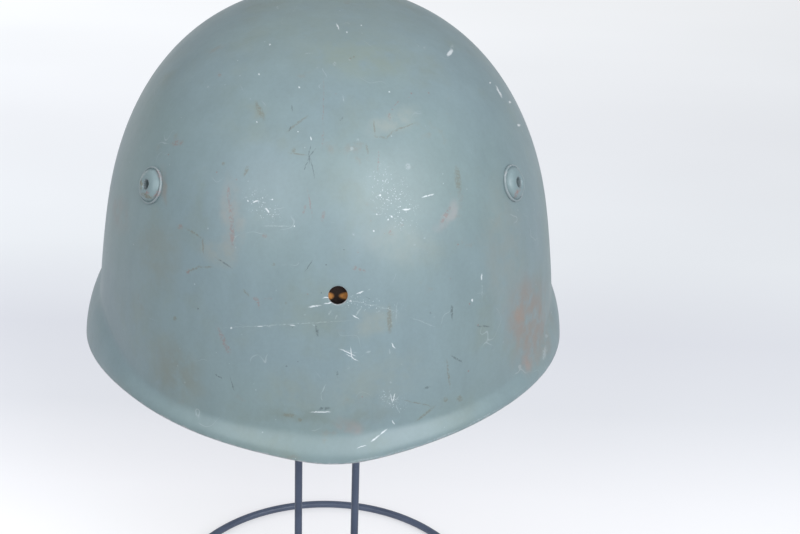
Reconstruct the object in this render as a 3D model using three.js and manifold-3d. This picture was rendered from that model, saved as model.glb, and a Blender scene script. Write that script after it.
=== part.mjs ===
// A pressed-steel helmet on its plain wire stand.
// Millimetres, +Z up, the helmet's front towards -Y. The origin lies on the floor, under the stand's middle.
import * as THREE from "three";
import { ParametricGeometry } from "three/addons/geometries/ParametricGeometry.js";
import { mergeVertices } from "three/addons/utils/BufferGeometryUtils.js";
import Module from "manifold-3d";

const wasm = await Module();
wasm.setup();

// Driving dimensions

const CLEARANCE = 0.3; // between pieces that touch

const SHELL = {
  halfWidth: 108.8, // plan radius of the crown at the sides, before the wall leans out
  frontReach: 112, // the same to the front
  rearReach: 138, // and to the rear
  shoulder: 18.2, // height above the side rim where the crown's curve ends
  rise: 145, // from there to the top
  fullness: 2.5, // exponent of the crown's profile: 2 is an ellipse, more is squarer
  leanTop: 70, // below this height the wall leans out
  leanEase: 30, // height over which the lean grows to its full angle
  lean: THREE.MathUtils.degToRad(4),
  wall: 1.3,
};

// Height of the rim above the side rim, by direction: 0 degrees is the front, 180 the rear.
const RIM = [
  { angle: 0, height: 4.2 },
  { angle: 50, height: 7.2 },
  { angle: 95, height: 0 },
  { angle: 180, height: -2 },
];
const RIM_POINT = { dip: 2.6, reach: 1.6, height: 4.5, dipSpread: 12, reachSpread: 20 }; // the visor's slight point
const RIM_BEND = { angle: 40, lift: 1.8, spread: 24 }; // the visor is bent up a touch on one side

// The visor in front, the flare round the sides and rear, and the directions where one becomes the other.
const VISOR = { reach: 3.6, height: 10.5, turnFrom: 0.1, turnTo: 0.85, drop: 2.2, dropGrowth: 0.011 };
const FLARE = { reach: 5.2, height: 23, leftBias: 0.22, quickness: 2.4 };
const FLARE_BLEND = { from: 46, to: 84 };

const VENT = {
  angle: 57.6, // of the left and right rivets, from the front
  height: 104.5,
  holeRadius: 4,
  shankRadius: 3.6,
  boreRadius: 2.2,
  lipRadius: 8.5,
  lipHeight: 1,
  lipRound: { in: 0.8, down: 0.3 },
  grooveHeight: 0.6,
  domeRadius: 6.9,
  domeHeight: 3.5,
  domeRound: [
    { radius: 0.86, height: 0.67 }, // shares of the dome's radius and height
    { radius: 0.62, height: 0.93 },
  ],
  boreRound: { out: 0.6, down: 0.4 },
  flangeRadius: 6.5,
  flangeThickness: 0.9,
  flangeGap: 1.2, // to the leather, which curves round the flat flange
};
const FRONT_HOLE = { height: 79, radius: 4.25 };

const LEATHER = 2;
const BAND = { top: 113, bottom: 40, gap: 0.8, hang: 12.5, hangFrom: 98 }; // gap: to the shell at the rivets

const TONGUES = {
  count: 8,
  gap: 8,
  gapReach: [28, 70, 140], // from the middle: where a gap starts, where it is full, and past the leather
  gapFrom: 72,
  openingRadius: 20,
  drop: 24, // air space over them at the top
};

const WIRE = 4;
const STAND = { rimHeight: 180, baseRadius: 84.5, topRadius: 45, spacing: 30 };
const HELMET_TURN = THREE.MathUtils.degToRad(5.1); // how far the helmet is turned on the stand
const HELMET_SHIFT = { x: -1.3, y: 0.4 };

const WIRE_SIDES = 8; // an even number with a flat underneath
const RING_SIDES = { base: 36, top: 28 };
const WALL_SIDES = 60;
const LEATHER_SIDES = 40;
// The shell's rows: down to crownBase by the crown's curve, then by shares of the way on to the rim.
const SHELL_ROWS = { crownBase: 45, crown: 11, lowerShares: [0.15, 0.3, 0.44, 0.56, 0.67, 0.78, 0.89, 1] };
const BAND_ROWS = 5;
const CROWN_LEATHER_ROWS = 9;
const RIVET_SIDES = 16;
const DRILL = { depth: 30, sides: 24 };

// Materials

const steelPaint = new THREE.MeshStandardMaterial({ color: 0x82969a, roughness: 0.42, metalness: 0.1 });
const leather = new THREE.MeshStandardMaterial({ color: 0x8f5f33, roughness: 0.7, metalness: 0 });
const wirePaint = new THREE.MeshStandardMaterial({ color: 0x39434f, roughness: 0.5, metalness: 0.3 });

// Small helpers

const clamp01 = (t) => THREE.MathUtils.clamp(t, 0, 1);
const degrees = THREE.MathUtils.radToDeg;
const bell = (angle, centre, spread) => Math.exp(-(((angle - centre) / spread) ** 2));
const smooth = (value, from, to) => THREE.MathUtils.smoothstep(value, from, to);

/** A value read from rows of { angle, height }, with a smooth step between one row and the next. */
function readRows(rows, angle) {
  const next = Math.max(1, rows.findIndex((row) => row.angle >= angle));
  const [a, b] = [rows[next - 1], rows[next]];
  return THREE.MathUtils.lerp(a.height, b.height, smooth(angle, a.angle, b.angle));
}

// The helmet's outer form. A direction is an angle from the front, positive to the right.

function rimHeight(direction) {
  const angle = degrees(direction);
  const side = Math.abs(angle);
  const front = 1 - smooth(side, FLARE_BLEND.from, FLARE_BLEND.to);
  return (
    readRows(RIM, side) -
    front * VISOR.drop * (1 + VISOR.dropGrowth * side) -
    RIM_POINT.dip * bell(angle, 0, RIM_POINT.dipSpread) +
    RIM_BEND.lift * bell(angle, RIM_BEND.angle, RIM_BEND.spread)
  );
}

function crownRadius(direction, height) {
  const reach = Math.cos(direction) > 0 ? SHELL.frontReach : SHELL.rearReach;
  const plan = 1 / Math.hypot(Math.sin(direction) / SHELL.halfWidth, Math.cos(direction) / reach);
  const up = clamp01((height - SHELL.shoulder) / SHELL.rise);
  return plan * (1 - up ** SHELL.fullness) ** (1 / SHELL.fullness);
}

function leanOut(height) {
  const below = (SHELL.leanTop - height) / SHELL.leanEase;
  const steps = below <= 0 ? 0 : below < 1 ? below ** 2 / 2 : below - 0.5;
  return Math.tan(SHELL.lean) * SHELL.leanEase * steps;
}

/** How far the visor or the flare stands out from the wall at a height. */
function flareOut(direction, height) {
  const angle = Math.abs(degrees(direction));
  const side = smooth(angle, FLARE_BLEND.from, FLARE_BLEND.to);
  const visorHeight = VISOR.height + RIM_POINT.height * bell(angle, 0, RIM_POINT.reachSpread);
  const band = THREE.MathUtils.lerp(visorHeight, FLARE.height, side);
  const down = clamp01((rimHeight(direction) + band - height) / band);
  const visorReach = VISOR.reach + RIM_POINT.reach * bell(angle, 0, RIM_POINT.reachSpread);
  const visor = visorReach * smooth(down, VISOR.turnFrom, VISOR.turnTo);
  const flareReach = FLARE.reach * (1 - FLARE.leftBias * Math.sin(direction));
  const flare = flareReach * (1 - (1 - down) ** FLARE.quickness);
  return THREE.MathUtils.lerp(visor, flare, side);
}

function outerPoint(direction, height) {
  const radius = crownRadius(direction, height) + leanOut(height) + flareOut(direction, height);
  return new THREE.Vector3(Math.sin(direction) * radius, -Math.cos(direction) * radius, height);
}

/** The point at a depth under the outer form, square to it. */
function pointUnder(direction, height, depth) {
  const top = SHELL.shoulder + SHELL.rise;
  const step = 0.01; // a small turn in radians, and a small drop in millimetres
  if (top - height < step) return new THREE.Vector3(0, 0, top - depth);
  const point = outerPoint(direction, height);
  const round = outerPoint(direction + step, height).sub(outerPoint(direction - step, height));
  const down = outerPoint(direction, height - step).sub(point);
  return point.addScaledVector(round.cross(down).normalize(), depth);
}

/** Heights from the top of the crown down to one height, closer together where the form turns quickly. */
function crownHeights(lowest, rows) {
  const lastTurn = Math.acos(((lowest - SHELL.shoulder) / SHELL.rise) ** (SHELL.fullness / 2));
  return Array.from({ length: rows + 1 }, (_, row) => {
    const turn = (lastTurn * row) / rows;
    return SHELL.shoulder + SHELL.rise * Math.cos(turn) ** (2 / SHELL.fullness);
  });
}

/**
 * A closed wall: a parametric sheet whose profile runs down the outer face and back up the inner one.
 * A profile row has a depth, and a height that is a number or a function of the direction.
 */
function wallGeometry(profile, sides) {
  return new ParametricGeometry(
    (u, v, target) => {
      const { height, depth } = profile[Math.round(v * (profile.length - 1))];
      const direction = (1 - (u % 1) * 2) * Math.PI; // the sheet closes on its own first edge
      target.copy(pointUnder(direction, typeof height === "number" ? height : height(direction), depth));
    },
    sides,
    profile.length - 1,
  );
}

// Joins and cuts

function solidFrom(geometry) {
  const bare = geometry.index ? geometry.toNonIndexed() : geometry.clone();
  bare.deleteAttribute("normal");
  bare.deleteAttribute("uv");
  const merged = mergeVertices(bare, 1e-3);
  const vertProperties = merged.attributes.position.array;
  return new wasm.Manifold(
    new wasm.Mesh({ numProp: 3, vertProperties, triVerts: new Uint32Array(merged.index.array) }),
  );
}

function geometryFrom(solid) {
  const { vertProperties, triVerts } = solid.getMesh();
  const geometry = new THREE.BufferGeometry();
  geometry.setAttribute("position", new THREE.BufferAttribute(vertProperties, 3));
  geometry.setIndex(new THREE.BufferAttribute(triVerts, 1));
  return geometry;
}

const joined = (geometries) => geometryFrom(geometries.map(solidFrom).reduce((a, b) => a.add(b)));

function cut(geometry, tools) {
  return geometryFrom(tools.map(solidFrom).reduce((a, b) => a.subtract(b), solidFrom(geometry)));
}

/** A named sub-part. */
function part(name, geometry, material) {
  const mesh = new THREE.Mesh(geometry, material);
  mesh.name = name;
  return mesh;
}

// Places on the shell

/** The turn that stands a piece's +Y square on the shell, and the point that it stands on. */
function seatOn(direction, height) {
  const point = outerPoint(direction, height);
  const outward = point.clone().sub(pointUnder(direction, height, 1));
  return { point, turn: new THREE.Quaternion().setFromUnitVectors(new THREE.Vector3(0, 1, 0), outward) };
}

/** A round tool that cuts through the shell and the leather behind it. */
function drill(direction, height, radius) {
  const { point, turn } = seatOn(direction, height);
  return new THREE.CylinderGeometry(radius, radius, DRILL.depth, DRILL.sides)
    .applyQuaternion(turn)
    .translate(...point);
}

const ventAngle = THREE.MathUtils.degToRad(VENT.angle);
const VENT_DIRECTIONS = { left: -ventAngle, right: ventAngle, rear: Math.PI };
const ventHoles = Object.values(VENT_DIRECTIONS).map((direction) =>
  drill(direction, VENT.height, VENT.holeRadius),
);

// Shell

function shell() {
  const crown = crownHeights(SHELL_ROWS.crownBase, SHELL_ROWS.crown);
  const lower = SHELL_ROWS.lowerShares.map(
    (share) => (direction) => THREE.MathUtils.lerp(SHELL_ROWS.crownBase, rimHeight(direction), share),
  );
  const heights = [...crown, ...lower];
  const outer = heights.map((height) => ({ height, depth: 0 }));
  const inner = heights.map((height) => ({ height, depth: SHELL.wall })).reverse();
  const wall = wallGeometry([...outer, ...inner], WALL_SIDES);
  const frontHole = drill(0, FRONT_HOLE.height, FRONT_HOLE.radius);
  return part("shell", cut(wall, [...ventHoles, frontHole]), steelPaint);
}

// Hollow rivets that hold the lining

function ventRivet(name, direction) {
  const flangeTop = -(SHELL.wall + BAND.gap + LEATHER + VENT.flangeGap);
  const seat = CLEARANCE;
  const { boreRadius, shankRadius, lipRadius, lipRound, domeRadius, domeHeight, boreRound } = VENT;
  const flangeBottom = flangeTop - VENT.flangeThickness;
  const lipTop = seat + VENT.lipHeight;
  const profile = [
    [boreRadius, flangeBottom],
    [VENT.flangeRadius, flangeBottom],
    [VENT.flangeRadius, flangeTop],
    [shankRadius, flangeTop],
    [shankRadius, seat],
    [lipRadius, seat],
    [lipRadius, lipTop - lipRound.down],
    [lipRadius - lipRound.in, lipTop],
    [domeRadius, seat + VENT.grooveHeight],
    ...VENT.domeRound.map(({ radius, height }) => [domeRadius * radius, domeHeight * height]),
    [boreRadius + boreRound.out, domeHeight],
    [boreRadius, domeHeight - boreRound.down],
    [boreRadius, flangeBottom],
  ].map(([radius, along]) => new THREE.Vector2(radius, along));
  const mesh = part(name, new THREE.LatheGeometry(profile, RIVET_SIDES), steelPaint);
  const { point, turn } = seatOn(direction, VENT.height);
  mesh.position.copy(point);
  mesh.quaternion.copy(turn);
  return mesh;
}

// Leather lining

/** Depth of the band's outer face under the shell's: close at the rivets, and hanging clear lower down. */
const bandDepth = (height) =>
  SHELL.wall + BAND.gap + BAND.hang * (1 - smooth(height, BAND.bottom, BAND.hangFrom));

function linerBand() {
  const drop = (BAND.top - BAND.bottom) / BAND_ROWS;
  const heights = Array.from({ length: BAND_ROWS + 1 }, (_, row) => BAND.top - row * drop);
  const outer = heights.map((height) => ({ height, depth: bandDepth(height) }));
  const inner = heights.map((height) => ({ height, depth: bandDepth(height) + LEATHER })).reverse();
  const loop = [...outer, ...inner, outer[0]];
  return part("liner_band", cut(wallGeometry(loop, LEATHER_SIDES), ventHoles), leather);
}

/** Depth of the crown leather's outer face: at the band's foot, then clear of it and of the shell's top. */
function crownDepth(height) {
  const top = SHELL.shoulder + SHELL.rise;
  const sewn = bandDepth(BAND.bottom) + LEATHER + CLEARANCE;
  return THREE.MathUtils.lerp(sewn, TONGUES.drop, smooth(height, BAND.bottom, top));
}

/** A tool that cuts the gap between two tongues: it starts at a point and widens outwards. */
function tongueGap(angle) {
  const [near, wide, far] = TONGUES.gapReach;
  const outline = new THREE.Shape([
    new THREE.Vector2(near, 0),
    new THREE.Vector2(wide, -TONGUES.gap / 2),
    new THREE.Vector2(far, -TONGUES.gap / 2),
    new THREE.Vector2(far, TONGUES.gap / 2),
    new THREE.Vector2(wide, TONGUES.gap / 2),
  ]);
  const depth = 2 * SHELL.rise;
  return new THREE.ExtrudeGeometry(outline, { depth, bevelEnabled: false })
    .translate(0, 0, TONGUES.gapFrom)
    .rotateZ(angle);
}

function linerCrown() {
  const heights = crownHeights(BAND.bottom, CROWN_LEATHER_ROWS);
  const outer = heights.map((height) => ({ height, depth: crownDepth(height) }));
  const inner = heights.map((height) => ({ height, depth: crownDepth(height) + LEATHER })).reverse();
  const { openingRadius } = TONGUES;
  const opening = new THREE.CylinderGeometry(openingRadius, openingRadius, SHELL.rise, DRILL.sides)
    .rotateX(Math.PI / 2)
    .translate(0, 0, SHELL.rise);
  const step = (2 * Math.PI) / TONGUES.count;
  const gaps = Array.from({ length: TONGUES.count }, (_, i) => tongueGap((i + 0.5) * step));
  const wall = wallGeometry([...outer, ...inner], LEATHER_SIDES);
  return part("liner_crown", cut(wall, [opening, ...gaps]), leather);
}

// Wire stand

const wireRadius = WIRE / 2 / Math.cos(Math.PI / WIRE_SIDES); // so that the wire's flats are WIRE apart
const halfStep = Math.PI / WIRE_SIDES;

function wireRing(radius, height, sides) {
  const section = Array.from({ length: WIRE_SIDES + 1 }, (_, i) => {
    const angle = halfStep + (i * 2 * Math.PI) / WIRE_SIDES;
    return new THREE.Vector2(radius + wireRadius * Math.cos(angle), wireRadius * Math.sin(angle));
  });
  return new THREE.LatheGeometry(section, sides).rotateX(Math.PI / 2).translate(0, 0, height);
}

function wireBar(length) {
  return new THREE.CylinderGeometry(wireRadius, wireRadius, length, WIRE_SIDES).rotateY(halfStep);
}

/** The height of the upper ring: just under the lowest stretch of leather that it carries. */
function topRingHeight() {
  const reach = STAND.topRadius + WIRE / 2;
  const [directions, rows] = [36, 200];
  const heights = crownHeights(BAND.bottom, rows);
  const lowest = Array.from({ length: directions }, (_, i) => {
    const direction = (i * 2 * Math.PI) / directions;
    const leatherAbove = heights
      .map((height) => pointUnder(direction, height, crownDepth(height) + LEATHER))
      .find((point) => Math.hypot(point.x, point.y) > reach);
    return leatherAbove.z;
  });
  return STAND.rimHeight + Math.min(...lowest) - CLEARANCE - WIRE / 2;
}

function wireStand() {
  const low = WIRE / 2;
  const high = topRingHeight();
  const crossBar = (radius, height) => wireBar(2 * radius).rotateZ(Math.PI / 2).translate(0, 0, height);
  const uprights = [-1, 1].map((side) =>
    wireBar(high - low)
      .rotateX(Math.PI / 2)
      .translate((side * STAND.spacing) / 2, 0, (high + low) / 2),
  );
  const pieces = [
    wireRing(STAND.baseRadius, low, RING_SIDES.base),
    crossBar(STAND.baseRadius, low),
    wireRing(STAND.topRadius, high, RING_SIDES.top),
    crossBar(STAND.topRadius, high),
    ...uprights,
  ];
  return part("wire_stand", joined(pieces), wirePaint);
}

// Assembly

const helmet = new THREE.Group();
helmet.add(shell(), linerBand(), linerCrown());
for (const [place, direction] of Object.entries(VENT_DIRECTIONS)) {
  helmet.add(ventRivet(`vent_rivet_${place}`, direction));
}
helmet.position.set(HELMET_SHIFT.x, HELMET_SHIFT.y, STAND.rimHeight);
helmet.rotation.z = HELMET_TURN;

const group = new THREE.Group();
group.add(helmet, wireStand());

export default group;
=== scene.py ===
"""A worn pressed-steel helmet with a leather lining, on the plain wire stand that holds it.

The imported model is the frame. Forms are worked out in millimetres, from the same sizes as the solids, and are
placed in metres. A direction is an angle from the helmet's front, positive to its right in the picture.
"""

import logging
import math
from dataclasses import dataclass
from enum import Enum
from typing import Callable, Iterable, Sequence

import bmesh
import bpy
import numpy as np
from mathutils import Matrix, Vector


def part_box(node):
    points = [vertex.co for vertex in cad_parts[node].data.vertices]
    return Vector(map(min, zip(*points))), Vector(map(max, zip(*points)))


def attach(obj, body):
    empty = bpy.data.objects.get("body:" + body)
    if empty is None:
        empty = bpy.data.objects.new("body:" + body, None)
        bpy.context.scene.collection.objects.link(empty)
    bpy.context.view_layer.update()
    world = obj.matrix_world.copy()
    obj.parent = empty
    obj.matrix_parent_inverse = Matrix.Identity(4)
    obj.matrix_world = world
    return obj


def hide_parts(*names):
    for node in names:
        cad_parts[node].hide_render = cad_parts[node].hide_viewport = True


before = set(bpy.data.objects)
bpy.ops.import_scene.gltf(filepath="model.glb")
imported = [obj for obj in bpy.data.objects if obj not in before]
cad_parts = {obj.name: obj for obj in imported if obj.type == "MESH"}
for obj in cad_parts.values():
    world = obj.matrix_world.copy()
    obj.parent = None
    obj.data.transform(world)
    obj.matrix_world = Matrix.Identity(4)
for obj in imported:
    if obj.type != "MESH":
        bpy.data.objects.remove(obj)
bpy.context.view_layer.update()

LOG = logging.getLogger("helmet")
MM = 0.001
BODY = "root"

Array = np.ndarray
Colour = tuple[float, float, float]


def smooth(values: Array, low: float = 0.0, high: float = 1.0) -> Array:
    """A smooth step from 0 at low to 1 at high."""
    share = np.clip((values - low) / (high - low), 0.0, 1.0)
    return share * share * (3.0 - 2.0 * share)


def bell(values: Array, centre: float, spread: float) -> Array:
    """A bell curve of height 1."""
    return np.exp(-(((values - centre) / spread) ** 2))


def unit(vectors: Array) -> Array:
    """The vectors at length 1."""
    return vectors / np.maximum(np.linalg.norm(vectors, axis=-1, keepdims=True), 1e-12)


def srgb(red: int, green: int, blue: int) -> Colour:
    """A colour on the 0 to 255 display scale, as the linear light that a shader takes."""
    parts = (value / 255.0 for value in (red, green, blue))
    return tuple(p / 12.92 if p <= 0.04045 else ((p + 0.055) / 1.055) ** 2.4 for p in parts)


# How much of the light on the paint it gives back where the picture shows white.
PAINT_LIGHT = 0.54


def shown(red: int, green: int, blue: int) -> Colour:
    """The colour of a finish that shows as this display colour in the picture."""
    return tuple(PAINT_LIGHT * part for part in srgb(red, green, blue))


@dataclass(frozen=True)
class PhotoCamera:
    """The picture's camera, which looks along +Y and down at the helmet's front, in millimetres."""

    place: tuple[float, float, float] = (34.5, -805.8, 678.4)
    down: float = math.radians(30.0)
    roll: float = math.radians(2.02)
    lens: float = 85.0
    sensor: float = 36.0
    width: int = 800
    height: int = 534

    def turn(self) -> Matrix:
        """The camera's rotation, whose columns are its right, up and back."""
        return Matrix.Rotation(math.pi / 2 - self.down, 3, "X") @ Matrix.Rotation(self.roll, 3, "Z")

    def picture(self, points: Array) -> Array:
        """Where points fall in the picture.

        Args:
            points: Places in metres, of any shape that ends in 3.

        Returns:
            Picture coordinates x and y in the same shape, with 0 as a third number.
        """
        local = (points / MM - np.array(self.place)) @ np.array(self.turn())
        scale = self.lens / self.sensor * self.width / -local[..., 2]
        x = self.width / 2 + local[..., 0] * scale
        y = self.height / 2 - local[..., 1] * scale
        return np.stack([x, y, np.zeros_like(x)], axis=-1)

    def facing(self, points: Array, normals: Array) -> Array:
        """How squarely faces with these normals look at the camera: 1 square on, 0 edge on or turned away."""
        towards = unit(np.array(self.place) * MM - points)
        return np.clip((towards * normals).sum(axis=-1), 0.0, 1.0)

    def build(self) -> bpy.types.Object:
        """Makes the scene's camera.

        Returns:
            The camera.
        """
        data = bpy.data.cameras.new("camera")
        data.lens, data.sensor_width, data.sensor_fit = self.lens, self.sensor, "HORIZONTAL"
        data.clip_start, data.clip_end = 0.05, 20.0
        camera = bpy.data.objects.new("camera", data)
        camera.matrix_world = Matrix.Translation(Vector(self.place) * MM) @ self.turn().to_4x4()
        bpy.context.scene.collection.objects.link(camera)
        bpy.context.scene.camera = camera
        return camera


CAMERA = PhotoCamera()


class Socket:
    """An output of a node, with Python's arithmetic: each operation adds the node that does it."""

    def __init__(self, graph: "Graph", output: bpy.types.NodeSocket) -> None:
        """Wraps one output of a node in a graph."""
        self.graph = graph
        self.output = output

    def _math(self, operation: str, *values: "Operand") -> "Socket":
        """Adds a Math node on some values."""
        return self.graph.node("ShaderNodeMath", {"operation": operation}, dict(enumerate(values)))

    def _vector(self, operation: str, *values: "Operand") -> "Socket":
        """Adds a Vector Math node on some values."""
        return self.graph.node("ShaderNodeVectorMath", {"operation": operation}, dict(enumerate(values)))

    def __add__(self, other: "Operand") -> "Socket":
        """This value plus another."""
        return self._math("ADD", self, other)

    def __radd__(self, other: "Operand") -> "Socket":
        """Another value plus this one."""
        return self._math("ADD", other, self)

    def __sub__(self, other: "Operand") -> "Socket":
        """This value less another."""
        return self._math("SUBTRACT", self, other)

    def __rsub__(self, other: "Operand") -> "Socket":
        """Another value less this one."""
        return self._math("SUBTRACT", other, self)

    def __mul__(self, other: "Operand") -> "Socket":
        """This value times another."""
        return self._math("MULTIPLY", self, other)

    def __rmul__(self, other: "Operand") -> "Socket":
        """Another value times this one."""
        return self._math("MULTIPLY", other, self)

    def __abs__(self) -> "Socket":
        """This value without its sign."""
        return self._math("ABSOLUTE", self)

    def smaller(self, other: "Operand") -> "Socket":
        """The smaller of two values."""
        return self._math("MINIMUM", self, other)

    def larger(self, other: "Operand") -> "Socket":
        """The larger of two values."""
        return self._math("MAXIMUM", self, other)

    def ramp(self, low: float, high: float) -> "Socket":
        """A smooth step from 0 at low to 1 at high. Low may be the larger one.

        Args:
            low: Where the step begins.
            high: Where it ends.

        Returns:
            The step.
        """
        inputs = {"Value": self, "From Min": low, "From Max": high}
        settings = {"interpolation_type": "SMOOTHSTEP", "clamp": False}
        return self.graph.node("ShaderNodeMapRange", settings, inputs)

    def plus(self, other: "Operand") -> "Socket":
        """The sum of two vectors."""
        return self._vector("ADD", self, other)

    def times(self, other: "Operand") -> "Socket":
        """Two vectors or colours multiplied, part by part."""
        return self._vector("MULTIPLY", self, other)


Operand = Socket | float | Sequence[float]


class Graph:
    """A node tree and the one method that fills it."""

    def __init__(self, tree: bpy.types.NodeTree) -> None:
        """Wraps a tree."""
        self.tree = tree

    def node(
        self, kind: str, settings: dict | None = None, inputs: dict | None = None, output: int | str = 0
    ) -> Socket:
        """Adds a node.

        Args:
            kind: The node's type.
            settings: Its properties, set before anything else. The key "stops" fills a ramp.
            inputs: Values or sockets, by the input's name or number.
            output: The name or number of the output that is wanted.

        Returns:
            That output.
        """
        node = self.tree.nodes.new(kind)
        for name, value in (settings or {}).items():
            if name == "stops":
                self._fill_ramp(node.color_ramp, value)
            else:
                setattr(node, name, value)
        for key, value in (inputs or {}).items():
            target = node.inputs[key]
            if isinstance(value, Socket):
                self.tree.links.new(value.output, target)
            elif target.type == "RGBA" and len(value) == 3:
                target.default_value = (*value, 1.0)
            else:
                target.default_value = value
        return Socket(self, node.outputs[output] if node.outputs else None)

    @staticmethod
    def _fill_ramp(ramp: bpy.types.ColorRamp, stops: Sequence[tuple[float, Colour]]) -> None:
        """Fills a colour ramp.

        Args:
            ramp: The ramp.
            stops: The position and the colour of each stop.
        """
        for _ in range(len(stops) - len(ramp.elements)):
            ramp.elements.new(1.0)
        for element, (position, colour) in zip(ramp.elements, stops):
            element.position, element.color = position, (*colour, 1.0)

    def blend(self, share: Operand, first: Operand, second: Operand) -> Socket:
        """A colour that goes from the first to the second as share goes from 0 to 1."""
        return self.node("ShaderNodeMix", {"data_type": "RGBA"}, {0: share, 6: first, 7: second}, 2)

    def noise(self, at: Socket, scale: float, detail: float = 2.0, roughness: float = 0.5) -> Socket:
        """A noise from 0 to 1 whose features are about 1 / scale wide."""
        return self.node("ShaderNodeTexNoise", None, self._noise_inputs(at, scale, detail, roughness), "Fac")

    def noise_colour(self, at: Socket, scale: float, detail: float = 2.0, roughness: float = 0.5) -> Socket:
        """Three noises in one, as a colour."""
        inputs = self._noise_inputs(at, scale, detail, roughness)
        return self.node("ShaderNodeTexNoise", None, inputs, "Color")

    @staticmethod
    def _noise_inputs(at: Socket, scale: float, detail: float, roughness: float) -> dict:
        """The inputs of a noise node, by name."""
        return {"Vector": at, "Scale": scale, "Detail": detail, "Roughness": roughness}

    def oval(self, placed: dict) -> Socket:
        """How far inside an oval a place is: 1 in its middle, 0 past its edge. Its inputs are a mapping's."""
        local = self.node("ShaderNodeMapping", {"vector_type": "TEXTURE"}, placed)
        return self.node("ShaderNodeTexGradient", {"gradient_type": "SPHERICAL"}, {"Vector": local}, "Fac")

    def value(self, name: str, output: str = "Fac") -> Socket:
        """A value that the mesh carries at its points."""
        return self.node("ShaderNodeAttribute", {"attribute_name": name}, None, output)

    def millimetres(self) -> Socket:
        """The place on the piece, in millimetres."""
        place = self.node("ShaderNodeTexCoord", None, None, "Object")
        return place.times((1.0 / MM,) * 3)


def new_material(name: str) -> tuple[bpy.types.Material, Graph]:
    """A material with an empty tree.

    Args:
        name: The material's name.

    Returns:
        The material, and the graph that fills its tree.
    """
    material = bpy.data.materials.new(name)
    material.use_nodes = True
    material.node_tree.nodes.clear()
    return material, Graph(material.node_tree)


def finish_material(graph: Graph, shader: dict) -> None:
    """Adds the surface shader with these inputs, and the tree's output."""
    surface = graph.node("ShaderNodeBsdfPrincipled", None, shader)
    graph.node("ShaderNodeOutputMaterial", None, {"Surface": surface})


class Wear(Enum):
    """The kinds of mark on the paint."""

    BRIGHT = "scratch down to bright metal"
    # Also laid for a few painted highlights.
    FAINT = "scuff that only pales the paint"
    RUST = "reddish rust showing through"
    BROWN = "brown dirt in a scrape"
    DARK = "dark pit or scrape"


@dataclass(frozen=True)
class Mark:
    """One mark on the paint, by where its two ends show in the picture. Width is in picture units too."""

    x0: float
    y0: float
    x1: float
    y1: float
    width: float = 1.0
    spread: float = 1.35

    def cover(self, at: Socket) -> Socket:
        """How far inside the mark a place is: 1 in its middle, 0 past its edge. Its ends taper.

        Args:
            at: The place in the picture.

        Returns:
            The share, from 0 to 1.
        """
        half = self.width / 2
        long, high = self.x1 - self.x0, self.y1 - self.y0
        placed = {
            "Vector": at, "Location": ((self.x0 + self.x1) / 2, (self.y0 + self.y1) / 2, 0.0),
            "Rotation": (0.0, 0.0, math.atan2(high, long)),
            "Scale": ((math.hypot(long, high) / 2 + half) * self.spread, half * self.spread, 1.0),
        }
        return at.graph.oval(placed)


def spot(x: float, y: float, width: float = 1.5) -> Mark:
    """A round mark."""
    return Mark(x, y, x, y, width)
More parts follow.
